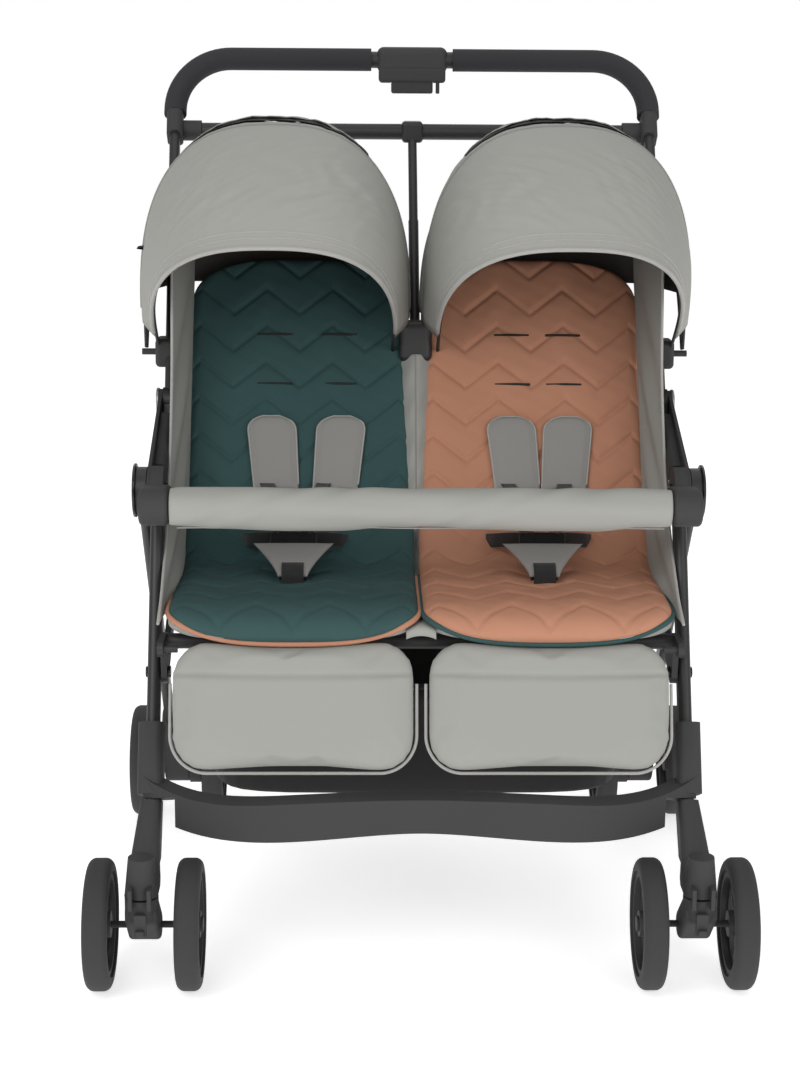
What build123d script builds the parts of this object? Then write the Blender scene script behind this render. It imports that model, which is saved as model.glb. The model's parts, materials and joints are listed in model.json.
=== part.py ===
from build123d import *
import os
from math import atan2, cos, degrees, hypot, pi, radians, sin

# Twin side-by-side folding stroller.
# Frame: millimetres, +Z up, front faces -Y, X = 0 is the middle plane, Z = 0 is the ground.
# Points of the side view are pairs (y, z). Pieces are drawn on the +X side and mirrored.

# ---- driving dimensions: side view -------------------------------------------------------------
WHEEL_RADIUS = 75.0
FRONT_AXLE = (-320.0, WHEEL_RADIUS)
REAR_AXLE = (230.0, WHEEL_RADIUS)
CASTER_TRAIL = 35.0
LEG_FOOT = (-296.0, 150.0)        # lower end of the front leg's centre line
HUB = (-115.0, 535.0)             # main pivot of front leg, armrest and rear leg
KNOB = (60.0, 610.0)              # pivot of the armrest and the handle tube
SEAT_PIVOT_UP_LEG = 210.0         # seat rail pivot, measured up the front leg
HANDLE_LEAN = 49.4                # handle tube, degrees above level
COLLAR_UP_TUBE = 423.0            # collar centre, measured up the handle tube from the knob
TOP_TUBE = (340.0, 926.0)
GRIP = (380.0, 1019.0)
CANOPY_PIVOT = (105.0, 665.0)
BUMPER = (-200.0, 535.0)
REAR_TUBE = (135.0, 140.0)
BACK_LEAN = 60.0                  # backrest, degrees above level
CREASE = (-26.0, 428.0)           # where the seat surface meets the backrest surface
LEG_REST_HINGE = (-258.0, 383.0)
LEG_REST_DROP = 109.0             # leg rest, degrees below level, measured from the rear
CROTCH_HINGE = (-134.0, 434.0)
CROTCH_LEAN = 35.0

# ---- driving dimensions: layers across the frame (distance from the middle plane) --------------
RAIL = (292.0, 299.0)             # seat side rail
INNER = (300.0, 315.0)            # front leg, hub housing, handle tube hub
LUG = (315.3, 319.3)              # armrest side plate
REAR_LEG = (320.0, 332.0)
HUB_CAP = (332.4, 336.0)
HANDLE_TUBE = (300.0, 313.0)
HANDLE_TOP_X = 317.0
CASTER_X = 313.0
FRONT_WHEELS = (262.0, 364.0)     # wheel centre planes, inner and outer
REAR_WHEELS = (269.0, 366.0)
SEAT_SIDES = (8.0, 290.0)
BACK_SIDES = (24.0, 290.0)
LEG_REST_SIDES = (8.0, 283.0)

# ---- driving dimensions: sections ---------------------------------------------------------------
TUBE_WALL = 1.6
LEG_DEPTH = 28.0
REAR_LEG_DEPTH = 26.0
TYRE_WIDTH = 28.0
TYRE_DEPTH = 15.0
AXLE_RADIUS = 4.0
PIN_RADIUS = 4.0
HUB_PIN_RADIUS = 6.0
CLEAR = 0.3                       # running clearance
SEAT_THICK = 32.0
BACK_THICK = 28.0
BACK_LENGTH = 400.0
LEG_REST_THICK = 22.0
LEG_REST_LENGTH = 135.0

# ---- driving dimensions: canopies ---------------------------------------------------------------
CANOPY_MIDDLE_X = 175.5
CANOPY_HALF_WIDTH = 168.0
CANOPY_RADIUS = 290.0
CANOPY_WALL_START = 60.0          # radius where the side walls begin
CANOPY_SKIN = 1.6
CANOPY_STEP = 2.5                 # each inner panel is this much smaller
CANOPY_POWER = 2.6                # superellipse exponent of the arch
PANEL_EDGES = {"front": (33.0, 74.0), "mid": (74.0, 100.0), "rear": (100.0, 126.0)}


def step(start, degrees_up, length):
    """The side-view point reached from start, going length at an angle above level to the rear."""
    a = radians(degrees_up)
    return (start[0] + length * cos(a), start[1] + length * sin(a))


LEG_LEAN = degrees(atan2(HUB[1] - LEG_FOOT[1], HUB[0] - LEG_FOOT[0]))
LEG_LENGTH = hypot(HUB[0] - LEG_FOOT[0], HUB[1] - LEG_FOOT[1])
SEAT_PIVOT = step(LEG_FOOT, LEG_LEAN, SEAT_PIVOT_UP_LEG)
LOOP_PIVOT = (KNOB[0] + SEAT_PIVOT[0] - HUB[0], KNOB[1] + SEAT_PIVOT[1] - HUB[1])
CASTER_STEM = (FRONT_AXLE[0] - CASTER_TRAIL, FRONT_AXLE[1])


# ---- shape helpers --------------------------------------------------------------------------------
def at(x, point):
    """A point in space from a distance x across and a side-view point."""
    return Vector(x, point[0], point[1])


def rod(start, end, radius, bore=0.0):
    """A round bar or tube between two points."""
    run = Vector(*end) - Vector(*start)
    section = Circle(radius) - Circle(bore) if bore else Circle(radius)
    return extrude(Plane(origin=start, z_dir=run) * section, run.length)


def disc(layer, centre, radius, bore=0.0):
    """A disc or ring that fills a layer across the frame, around a side-view point."""
    return rod(at(layer[0], centre), at(layer[1], centre), radius, bore)


def bar(start, end, width, depth, corner, wall=0.0):
    """A straight bar of rounded section; its width lies along X."""
    run = Vector(*end) - Vector(*start)
    section = RectangleRounded(width, depth, corner)
    if wall:
        section -= RectangleRounded(width - 2 * wall, depth - 2 * wall, corner - wall)
    return extrude(Plane(origin=start, x_dir=(1, 0, 0), z_dir=run) * section, run.length)


def layer_bar(layer, start, end, depth, corner, wall=0.0):
    """A bar that fills a layer across the frame, between two side-view points."""
    middle = sum(layer) / 2
    return bar(at(middle, start), at(middle, end), layer[1] - layer[0], depth, corner, wall)


def side_plane(x=0.0):
    """A plane across X, with its own axes along Y and Z."""
    return Plane(origin=(x, 0, 0), x_dir=(0, 1, 0), z_dir=(1, 0, 0))


def side_shape(layer, sketch):
    """A side-view sketch drawn out to fill a layer."""
    return extrude(side_plane(layer[0]) * sketch, layer[1] - layer[0])


def link(layer, first, first_radius, second, second_radius):
    """A plate around two side-view circles, with straight tangent sides."""
    circles = Pos(*first) * Circle(first_radius) + Pos(*second) * Circle(second_radius)
    return side_shape(layer, make_hull(circles.edges()))


def block(x, y, z, corner=0.0):
    """A box from three (low, high) pairs, with its edges rounded."""
    centre = (sum(x) / 2, sum(y) / 2, sum(z) / 2)
    piece = Pos(*centre) * Box(x[1] - x[0], y[1] - y[0], z[1] - z[0])
    return fillet(piece.edges(), corner) if corner else piece


def soft(piece, radius):
    """The piece with all its edges rounded."""
    return fillet(piece.edges(), radius)


def other_side(piece):
    return mirror(piece, about=Plane.YZ)


PIECES = {}


def keep(name, *solids):
    """Keep the solids as one node."""
    PIECES[name] = Compound(children=[s for piece in solids for s in piece.solids()])


def keep_sides(name, piece):
    """Keep a piece and its mirror image as two nodes."""
    keep(name + "_right", piece)
    keep(name + "_left", other_side(piece))


def keep_pair(name, piece):
    """Keep a piece and its mirror image as one node."""
    keep(name, piece, other_side(piece))


# ---- front frame ------------------------------------------------------------------------------------
LEG_START = 61.0                  # the foot's top, measured up the leg
HUB_NECK = 30.0                   # the hub housing's neck, measured down the leg
HUB_RADIUS = 29.0


def front_leg():
    top = LEG_LENGTH - HUB_NECK
    leg = layer_bar(INNER, step(LEG_FOOT, LEG_LEAN, LEG_START), step(LEG_FOOT, LEG_LEAN, top),
                    LEG_DEPTH, 7.0, TUBE_WALL)
    return leg - disc((INNER[0] - 1, INNER[1] + 1), SEAT_PIVOT, PIN_RADIUS)


def hub_housing():
    """The moulding on top of the leg, with the stub that the bumper bar plugs on to."""
    neck_end = step(HUB, LEG_LEAN, -HUB_NECK)
    housing = disc(INNER, HUB, HUB_RADIUS) + layer_bar(INNER, HUB, neck_end, LEG_DEPTH, 7.0)
    housing += block((302, 313), (-172, HUB[0] - 20), (525, 545))
    return housing - disc((INNER[0] - 1, INNER[1] + 1), HUB, HUB_PIN_RADIUS)


TYRE_SWEEP = 35.5              # no part of a swivelling tyre comes nearer to the stem than this


def front_foot():
    """The plastic foot between the leg and the caster, with its two lock cheeks in front."""
    stem = (CASTER_X, CASTER_STEM[0])
    top_centre = at(sum(INNER) / 2, step(LEG_FOOT, LEG_LEAN, LEG_START))
    top = Plane(origin=top_centre, x_dir=(1, 0, 0), z_dir=at(0, step((0, 0), LEG_LEAN, 1)))
    base = Plane(origin=(CASTER_X, CASTER_STEM[0] + 10, 127))
    foot = loft([base * RectangleRounded(38, 56, 15), top * RectangleRounded(24, 38, 9)])
    foot += extrude(Plane(origin=(*stem, 127)) * Circle(19), 44, taper=6)
    for x in (302.5, 323.5):
        foot += block((x - 2.2, x + 2.2), (-383, -374.6), (118, 142))
        foot += block((x - 2.2, x + 2.2), (-383, -365), (128, 142))
    foot -= rod((*stem, 110), (*stem, 2 * WHEEL_RADIUS + 1.5), 90, TYRE_SWEEP)
    return foot - rod((*stem, 120), (*stem, 168), 6 + CLEAR)


def front_crossbar():
    """The wavy footrest beam: its outline from above meets its outline from the front."""
    middle = Spline((-309, -266), (-240, -300), (-150, -322), (0, -301), (150, -322),
                    (240, -300), (309, -266))
    plan = extrude(Plane.XY * trace(middle, 30), 400)
    low, high = 183.0, 226.0
    front = Spline((-330, 246), (-262, 221), (-150, high), (0, high - 3), (150, high),
                   (262, 221), (330, 246))
    under = Spline((330, 205), (262, low - 2), (150, low - 2), (0, low), (-150, low - 2),
                   (-262, low - 2), (-330, 205))
    outline = make_face([front, Line((330, 246), (330, 205)), under, Line((-330, 205), (-330, 246))])
    beam = plan & extrude(Plane.XZ * outline, 500, both=True)
    sleeve_from, sleeve_to = (step(LEG_FOOT, LEG_LEAN, t) for t in (68, 150))
    for side in (-1, 1):
        middle_x = side * 309
        sleeve = bar(at(middle_x, sleeve_from), at(middle_x, sleeve_to), 29, 44, 9)
        leg = bar(at(side * sum(INNER) / 2, step(LEG_FOOT, LEG_LEAN, 40)),
                  at(side * sum(INNER) / 2, step(LEG_FOOT, LEG_LEAN, 200)), 15.4, 28.4, 7.2)
        foot_room = bar(at(middle_x, step(LEG_FOOT, LEG_LEAN, -60)),
                        at(middle_x, step(LEG_FOOT, LEG_LEAN, LEG_START + 1.5)), 60, 90, 5)
        beam = beam + sleeve - leg - foot_room
    return beam


def pivot_pins():
    """The hub pins with their caps, and the rivets that carry the seat rails."""
    hub = disc((296.5, 299.7), HUB, 9) + disc((297, 333), HUB, HUB_PIN_RADIUS)
    hub += soft(disc(HUB_CAP, HUB, 32), 1.2)
    rivet = disc((288.5, 291.6), SEAT_PIVOT, 7) + disc((289, 317), SEAT_PIVOT, PIN_RADIUS)
    rivet += soft(disc((INNER[1], INNER[1] + 2.6), SEAT_PIVOT, 6.5), 1.2)
    return hub, rivet


BASKET = ((-262.0, 262.0), (-140.0, 190.0), (158.0, 300.0))


def basket():
    """An open fabric tub with a rounded floor."""
    x, y, z = BASKET
    tub = block(x, y, z)
    tub = fillet(tub.edges().filter_by(Axis.Z), 40)
    tub = fillet(tub.faces().sort_by(Axis.Z)[0].edges(), 25)
    return offset(tub, amount=-3, openings=tub.faces().sort_by(Axis.Z)[-1:])


# ---- casters and wheels ------------------------------------------------------------------------------
def caster_fork():
    stem = (CASTER_X, CASTER_STEM[0])
    layer = (CASTER_X - 18.5, CASTER_X + 18.5)
    fork = link(layer, FRONT_AXLE, 17, (CASTER_STEM[0] + 3, 104), 16)
    fork = fillet(fork.edges().group_by(Axis.X)[0] + fork.edges().group_by(Axis.X)[-1], 5)
    fork += rod((*stem, 100), (*stem, 124.5), 19)
    fork += rod((*stem, 120), (*stem, 165), 6)
    return fork - disc((layer[0] - 2, layer[1] + 2), FRONT_AXLE, AXLE_RADIUS + CLEAR)


def swivel_lock():
    """The tab on the caster's nose; lifted, it enters between the cheeks of the foot."""
    tab = block((306, 320), (-381, -374.8), (86, 112), 1.5)
    return tab + block((308, 318), (-387, -378), (88, 95), 1.5)


def tyre(x, axle):
    ring = disc((x - TYRE_WIDTH / 2, x + TYRE_WIDTH / 2), axle, WHEEL_RADIUS)
    ring = fillet(ring.edges(), 9)
    return ring - disc((x - 20, x + 20), axle, WHEEL_RADIUS - TYRE_DEPTH)


def rim(x, axle, hub_radius):
    """A moulded rim: outer ring, holed web and hub."""
    outer = WHEEL_RADIUS - TYRE_DEPTH
    piece = disc((x - 11, x + 11), axle, outer, outer - 7)
    piece += disc((x - 3, x + 3), axle, outer - 3)
    piece += disc((x - 12, x + 12), axle, hub_radius)
    hole_ring = (hub_radius + outer - 7) / 2
    hole = (outer - 7 - hub_radius) / 2 - 3
    for i in range(6):
        piece -= disc((x - 5, x + 5), step(axle, 60 * i, hole_ring), hole)
    return piece


BRAKE_RING = 22.0
BRAKE_HOLES = 12
BRAKE_PIN_RADIUS = 2.8


def braked_rim(x, axle):
    """The inner rear rim: its hub has a ring of pockets for the brake pin."""
    piece = rim(x, axle, 29)
    for i in range(BRAKE_HOLES):
        turn = 360 * i / BRAKE_HOLES
        piece -= disc((x + 5, x + 13), step(axle, turn, BRAKE_RING), 4.2)
    return piece


def wheel_axle(wheels, axle):
    shaft = disc((wheels[0] - 13, wheels[1] + 13), axle, AXLE_RADIUS)
    caps = [soft(disc((x, x + 3), axle, 9), 1) for x in (wheels[0] - 15, wheels[1] + 12)]
    return shaft + caps


def wheel_unit(name, wheels, axle, rims):
    """Two wheels on one turning axle."""
    shaft = wheel_axle(wheels, axle)
    keep_sides(name + "_tyres", Compound(children=[tyre(x, axle) for x in wheels]))
    rims = [piece - shaft for piece in rims]
    keep_sides(name + "_rims", Compound(children=[*(s for r in rims for s in r.solids()), shaft]))


# ---- rear frame --------------------------------------------------------------------------------------
REAR_LEG_END = (220.0, 110.0)
REAR_LEAN = degrees(atan2(REAR_LEG_END[1] - HUB[1], REAR_LEG_END[0] - HUB[0]))
REAR_LEG_LENGTH = 498.0
HOUSING = (301.0, 336.0)


def rear_leg():
    leg = layer_bar(REAR_LEG, HUB, step(HUB, REAR_LEAN, REAR_LEG_LENGTH), REAR_LEG_DEPTH, 5.5)
    leg += disc(REAR_LEG, HUB, 28)
    return leg - disc((REAR_LEG[0] - 1, REAR_LEG[1] + 1), HUB, HUB_PIN_RADIUS + CLEAR)


def rear_housing():
    """The moulding that holds the rear leg, the axle, the cross tube and the brake pin."""
    neck = step(HUB, REAR_LEAN, REAR_LEG_LENGTH + 4)
    housing = link(HOUSING, REAR_AXLE, 29, neck, 21)
    housing = fillet(housing.edges().group_by(Axis.X)[0] + housing.edges().group_by(Axis.X)[-1], 4)
    housing += link((HOUSING[0], 320), REAR_TUBE, 14, neck, 16)
    housing += disc((287, HOUSING[0] + 1), REAR_AXLE, 31)
    housing -= layer_bar(REAR_LEG, HUB, step(HUB, REAR_LEAN, REAR_LEG_LENGTH), REAR_LEG_DEPTH, 5.5)
    housing -= disc((280, 340), REAR_AXLE, AXLE_RADIUS + CLEAR)
    pin = step(REAR_AXLE, 180, BRAKE_RING)
    return housing - disc((280, 320), pin, BRAKE_PIN_RADIUS + CLEAR)


def brake_pin():
    return disc((288, 311), step(REAR_AXLE, 180, BRAKE_RING), BRAKE_PIN_RADIUS)


def brake_pedal():
    """The foot pedal that turns on the rear cross tube."""
    half = 34.0
    pedal = disc((-half, half), REAR_TUBE, 15)
    pedal += block((-half, half), (REAR_TUBE[0], REAR_TUBE[0] + 68), (134, 142))
    pedal += block((-half, half), (REAR_TUBE[0] + 50, REAR_TUBE[0] + 72), (134, 147), 3)
    return pedal - disc((-half - 1, half + 1), REAR_TUBE, 10 + CLEAR)


# ---- armrests -----------------------------------------------------------------------------------------
ARM_LEAN = degrees(atan2(KNOB[1] - HUB[1], KNOB[0] - HUB[0]))
ARM_LENGTH = hypot(KNOB[0] - HUB[0], KNOB[1] - HUB[1])


def armrest():
    """The side plate between the two pivots, and the moulded arm on its inner side."""
    arm = link(LUG, HUB, 27, KNOB, 15)
    start, end = (step(HUB, ARM_LEAN, t) for t in (36, ARM_LENGTH - 44))
    arm += layer_bar((INNER[0], LUG[1]), start, end, 25, 7)
    arm -= disc((290, 330), HUB, HUB_PIN_RADIUS + CLEAR)
    return arm - disc((290, 330), KNOB, PIN_RADIUS)


def knob_cap():
    cap = disc((298.5, LUG[1]), KNOB, PIN_RADIUS)
    return cap + soft(disc((LUG[1], LUG[1] + 4), KNOB, 16.5), 1.5)


# ---- handle frame --------------------------------------------------------------------------------------
COLLAR_HALF = 18.0
SOCKET = 12.0
HANDLE_BASE_X = sum(HANDLE_TUBE) / 2


def up_handle(length):
    """A point in space on the handle tube's centre line, measured up from the knob."""
    lean = length / COLLAR_UP_TUBE
    x = HANDLE_BASE_X + (HANDLE_TOP_X - HANDLE_BASE_X) * lean
    return at(x, step(KNOB, HANDLE_LEAN, length))


def handle_tube():
    """The side tube: from the lower pivot to the knob, then up to the collar."""
    tube = bar(up_handle(0), up_handle(COLLAR_UP_TUBE - COLLAR_HALF + SOCKET), 13, 28, 6)
    tube += link(HANDLE_TUBE, LOOP_PIVOT, 14, KNOB, 15)
    tube += disc(INNER, KNOB, 17)
    tube -= disc((290, 330), KNOB, PIN_RADIUS + CLEAR)
    return tube - disc((290, 330), LOOP_PIVOT, PIN_RADIUS + 0.5)


HANDLE_CORNER = 74.0
HANDLE_RADIUS = 11.0
GRIP_RADIUS = 15.0
GRIP_INNER_END = 55.0


def handle_path():
    start = up_handle(COLLAR_UP_TUBE + 4)
    corner = at(HANDLE_TOP_X, GRIP)
    far_corner, end = (Vector(-p.X, p.Y, p.Z) for p in (corner, start))
    return FilletPolyline(start, corner, far_corner, end, radius=HANDLE_CORNER)


def along_handle(section):
    path = handle_path()
    return sweep(Plane(origin=path @ 0, z_dir=path % 0) * section, path=path)


def collar():
    """The T-shaped collar that joins side tube, handle bar and top cross tube."""
    low, high = (up_handle(COLLAR_UP_TUBE + t) for t in (-COLLAR_HALF, COLLAR_HALF))
    piece = bar(low, high, 21, 36, 8)
    piece += rod(at(282, TOP_TUBE), at(312, TOP_TUBE), 13.5)
    tube = bar(up_handle(300), up_handle(COLLAR_UP_TUBE - COLLAR_HALF + SOCKET), 13, 28, 6)
    return piece - tube - rod(at(270, TOP_TUBE), at(300, TOP_TUBE), 10.5)


def centre_post():
    """The post between the seats: top clamp, two-stage rod and the canopy bracket."""
    foot = (CANOPY_PIVOT[0] + 14, CANOPY_PIVOT[1] + 18)
    joint = tuple(top + (low - top) * 0.45 for top, low in zip(TOP_TUBE, foot))
    post = rod(at(0, TOP_TUBE), at(0, joint), 5.8) + rod(at(0, joint), at(0, foot), 6.6)
    post += soft(block((-14, 14), (TOP_TUBE[0] - 15, TOP_TUBE[0] + 15), (912, 940)), 5)
    post += soft(block((-21, 21), (88, 122), (655, 705)), 8)
    return post - rod(at(-20, TOP_TUBE), at(20, TOP_TUBE), 10.5)


def handle_box():
    """The fold control in the middle of the handle."""
    y, z = GRIP
    box = soft(block((-47, 47), (y - 15, y + 15), (z - 17, z + 17)), 9)
    box += soft(block((-45, 45), (y - 15, y + 13), (z - 30, z - 8)), 5)
    box -= rod(at(-60, GRIP), at(60, GRIP), HANDLE_RADIUS)
    box -= block((-29, 29), (y - 13.5, y + 9.5), (z - 35, z - 18.5))
    return box - block((31, 42), (y - 13.5, y - 2.5), (z - 35, z - 20))


def fold_lever():
    y, z = GRIP
    return block((-28, 28), (y - 12.5, y + 8.5), (z - 44, z - 25.5), 3)


def fold_lock():
    y, z = GRIP
    return block((32, 37), (y - 12.5, y - 3.5), (z - 44, z - 21), 1.5)


def canopy_clamp():
    """The clip on the side tube that carries the canopy's outer pivot."""
    y, z = CANOPY_PIVOT
    clamp = soft(block((297, 327), (y - 18, y + 18), (z - 18, z + 18)), 6)
    clamp += rod(at(326, CANOPY_PIVOT), at(344.6, CANOPY_PIVOT), 4)
    return clamp - bar(up_handle(0), up_handle(200), 13, 28, 6)


# ---- canopies -------------------------------------------------------------------------------------------
def arch(half_width, radius):
    """Half of a superellipse's points and its mirror, from one wall over the top to the other."""
    rise = radius - CANOPY_WALL_START
    count = 14
    points = []
    for i in range(count + 1):
        turn = pi * i / count
        across = abs(cos(turn)) ** (2 / CANOPY_POWER)
        up = abs(sin(turn)) ** (2 / CANOPY_POWER)
        side = 1 if i < count / 2 else -1
        points.append((CANOPY_MIDDLE_X + side * half_width * across, CANOPY_WALL_START + rise * up))
    return Spline(*points, tangents=[(0, 1), (0, -1)])


def canopy_panel(name, steps_in):
    """One fabric panel of the canopy, turned about the canopy pivot, with its outer pivot strap."""
    low, high = PANEL_EDGES[name]
    half_width = CANOPY_HALF_WIDTH - CANOPY_STEP * steps_in
    radius = CANOPY_RADIUS - CANOPY_STEP * steps_in
    outer = arch(half_width, radius)
    inner = arch(half_width - CANOPY_SKIN, radius - CANOPY_SKIN)
    face = make_face([outer, inner, Line(outer @ 0, inner @ 0), Line(outer @ 1, inner @ 1)])
    a = radians(low)
    plane = Plane(origin=at(0, CANOPY_PIVOT), x_dir=(1, 0, 0), z_dir=(0, -sin(a), -cos(a)))
    pivot = Axis(origin=at(0, CANOPY_PIVOT), direction=(-1, 0, 0))
    panel = revolve(plane * face, axis=pivot, revolution_arc=high - low)
    wall = (CANOPY_MIDDLE_X + half_width - CANOPY_SKIN, CANOPY_MIDDLE_X + half_width)
    strap_end = step(CANOPY_PIVOT, 180 - (low + high) / 2, CANOPY_WALL_START + 12)
    panel += link(wall, CANOPY_PIVOT, 9, strap_end, 4)
    return panel - disc((330, 350), CANOPY_PIVOT, 4 + CLEAR)


# ---- bumper bar -------------------------------------------------------------------------------------------
BUMPER_RADIUS = 22.5
BUMPER_TUBE_RADIUS = 9.0
BUTTON = (-163.0, 535.0)


def bumper_elbow():
    """The moulded end that slides on to the hub housing's stub."""
    elbow = link((288, 322), BUMPER, 21.5, (-165, 535), 17.5)
    elbow = fillet(elbow.edges().group_by(Axis.X)[0] + elbow.edges().group_by(Axis.X)[-1], 5)
    elbow -= block((290, 330), (-147, -130), (500, 570))
    elbow -= block((301.5, 313.5), (-175, -130), (524.5, 545.5))
    elbow -= disc((312, 330), BUTTON, 7 + CLEAR)
    return elbow - disc((280, 300), BUMPER, BUMPER_TUBE_RADIUS)


def bumper_button():
    return soft(disc((318, 326.5), BUTTON, 7), 1)


# ---- seats --------------------------------------------------------------------------------------------------
def seat_frame():
    """Two side rails, two cross tubes, and the pivots for the leg rests and the handle frame."""
    front_tube, rear_tube = (-215.0, 380.0), (-80.0, 382.0)
    rail = link(RAIL, SEAT_PIVOT, 13, LOOP_PIVOT, 13)
    rail += link(RAIL, SEAT_PIVOT, 12, front_tube, 10)
    rail += link(RAIL, front_tube, 10, LEG_REST_HINGE, 9)
    rail += disc((276, RAIL[1]), LEG_REST_HINGE, PIN_RADIUS)
    rail += disc((284, 314.5), LOOP_PIVOT, PIN_RADIUS)
    rail -= disc((280, 310), SEAT_PIVOT, PIN_RADIUS + CLEAR)
    frame = rail + other_side(rail)
    for centre in (front_tube, rear_tube):
        frame += rod(at(-RAIL[0] - 1, centre), at(RAIL[0] + 1, centre), 9)
    return frame


def seat_cushion():
    top = CREASE[1] + 1
    return block(SEAT_SIDES, (-256, -66), (top - SEAT_THICK, top), 11)


def back_plane(x=0.0):
    """Plane of the backrest's front surface: its own x across, its own y up the back."""
    lean = radians(BACK_LEAN)
    return Plane(origin=at(x, CREASE), x_dir=(1, 0, 0), z_dir=(0, -sin(lean), cos(lean)))


def back_slab(x, up, thick, corner):
    """A slab on the backrest: x and up are (low, high) pairs, thick is (behind, in front)."""
    sketch = Pos(sum(x) / 2, sum(up) / 2) * RectangleRounded(x[1] - x[0], up[1] - up[0], corner)
    return extrude(back_plane().offset(thick[0]) * sketch, thick[1] - thick[0])


def backrest():
    pad = soft(back_slab(BACK_SIDES, (38, BACK_LENGTH), (-BACK_THICK, 0), 55), 8)
    ear = (284.5, 290.5)
    foot = step(step(CREASE, BACK_LEAN, 60), BACK_LEAN - 90, 14)
    pad += link(ear, LOOP_PIVOT, 11, foot, 11)
    return pad - disc((280, 300), LOOP_PIVOT, PIN_RADIUS + CLEAR)


def leg_rest():
    end = step(LEG_REST_HINGE, -LEG_REST_DROP, LEG_REST_LENGTH)
    half = LEG_REST_THICK / 2
    pad = link(LEG_REST_SIDES, LEG_REST_HINGE, half, end, half)
    return pad - disc((275, 290), LEG_REST_HINGE, PIN_RADIUS + CLEAR)


SEAT_MIDDLE_X = sum(SEAT_SIDES) / 2
STRAP_SPACING = 74.0


def harness():
    """Two shoulder pads with the webbing that runs up to the slits."""
    pieces = []
    for side in (-1, 1):
        x = SEAT_MIDDLE_X + side * STRAP_SPACING / 2
        pieces.append(back_slab((x - 27, x + 27), (85, 182), (0, 12), 10))
        pieces.append(back_slab((x - 12.5, x + 12.5), (183, 228), (0, 2), 1))
    return Compound(children=[s for p in pieces for s in p.solids()])


def crotch_plane():
    """Along the crotch strap: its own x across, its own y up the strap, z out of its upper face."""
    lean = radians(CROTCH_LEAN)
    return Plane(origin=at(0, CROTCH_HINGE), x_dir=(1, 0, 0), z_dir=(0, -sin(lean), cos(lean)))


def strap_slab(half_width, along, thick, corner):
    sketch = Pos(SEAT_MIDDLE_X, sum(along) / 2)
    sketch *= RectangleRounded(2 * half_width, along[1] - along[0], corner)
    return extrude(crotch_plane().offset(thick[0]) * sketch, thick[1] - thick[0])


def buckle():
    """The crotch strap, with the eye that it turns on, and the buckle housing at its end."""
    strap = strap_slab(16, (1, 36), (-2, 3), 0.5)
    strap += disc((SEAT_MIDDLE_X - 16, SEAT_MIDDLE_X + 16), CROTCH_HINGE, 3)
    housing = soft(strap_slab(29, (36, 66), (-8, 8), 7), 2.5)
    housing -= strap_slab(9, (42, 60), (2.5, 20), 4)
    return strap, housing


def buckle_button():
    return strap_slab(9 - CLEAR, (42 + CLEAR, 60 - CLEAR), (5.6, 9.5), 3.7)


# ---- the whole stroller --------------------------------------------------------------------------------------
def build():
    keep_pair("front_legs", front_leg())
    keep_pair("hub_housings", hub_housing())
    keep_pair("front_feet", front_foot())
    keep("front_crossbar", front_crossbar())
    pins = pivot_pins()
    keep("pivot_pins", *pins, *(other_side(p) for p in pins))
    keep("basket", basket())

    keep_sides("caster_fork", caster_fork())
    keep_sides("swivel_lock", swivel_lock())
    wheel_unit("front", FRONT_WHEELS, FRONT_AXLE, [rim(x, FRONT_AXLE, 15) for x in FRONT_WHEELS])
    rear_rims = [braked_rim(REAR_WHEELS[0], REAR_AXLE), rim(REAR_WHEELS[1], REAR_AXLE, 15)]
    wheel_unit("rear", REAR_WHEELS, REAR_AXLE, rear_rims)

    keep_pair("rear_legs", rear_leg())
    keep_pair("rear_housings", rear_housing())
    keep("rear_cross_tube", rod(at(-HOUSING[0], REAR_TUBE), at(HOUSING[0], REAR_TUBE), 10, 8.4))
    keep("brake_pedal", brake_pedal())
    keep_sides("brake_pin", brake_pin())

    keep_sides("armrest", armrest())
    keep_pair("knob_caps", knob_cap())

    keep_pair("handle_tubes", handle_tube())
    collars = collar() - along_handle(Circle(HANDLE_RADIUS))
    keep_pair("handle_collars", collars)
    keep("top_cross_tube", rod(at(-300, TOP_TUBE), at(300, TOP_TUBE), 10.5, 9))
    keep("centre_post", centre_post())
    keep("handle_bar", along_handle(Circle(HANDLE_RADIUS)))
    grips = along_handle(Circle(GRIP_RADIUS) - Circle(HANDLE_RADIUS))
    grips -= block((-GRIP_INNER_END, GRIP_INNER_END), (300, 450), (950, 1060))
    grips -= bar(up_handle(300), up_handle(COLLAR_UP_TUBE + COLLAR_HALF), 60, 60, 5)
    grips -= mirror(bar(up_handle(300), up_handle(COLLAR_UP_TUBE + COLLAR_HALF), 60, 60, 5),
                    about=Plane.YZ)
    keep("handle_grips", grips)
    keep("handle_box", handle_box())
    keep("fold_lever", fold_lever())
    keep("fold_lock", fold_lock())
    keep_pair("canopy_clamps", canopy_clamp())

    keep_sides("canopy_front", canopy_panel("front", 0))
    keep_sides("canopy_mid", canopy_panel("mid", 1))
    keep_pair("canopy_rears", canopy_panel("rear", 2))

    tube_half = 299.0
    keep("bumper_tube", rod(at(-tube_half, BUMPER), at(tube_half, BUMPER), BUMPER_TUBE_RADIUS, 7.4))
    keep_pair("bumper_elbows", bumper_elbow())
    keep("bumper_cover", rod(at(-287, BUMPER), at(287, BUMPER), BUMPER_RADIUS, BUMPER_TUBE_RADIUS))
    keep_sides("bumper_button", bumper_button())

    keep("seat_frame", seat_frame())
    keep_sides("seat", seat_cushion())
    keep_sides("backrest", backrest())
    keep_sides("leg_rest", leg_rest())
    keep_sides("harness", harness())
    parts = buckle()
    keep("buckle_right", *parts)
    keep("buckle_left", *(other_side(p) for p in parts))
    keep_sides("buckle_button", buckle_button())


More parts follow.
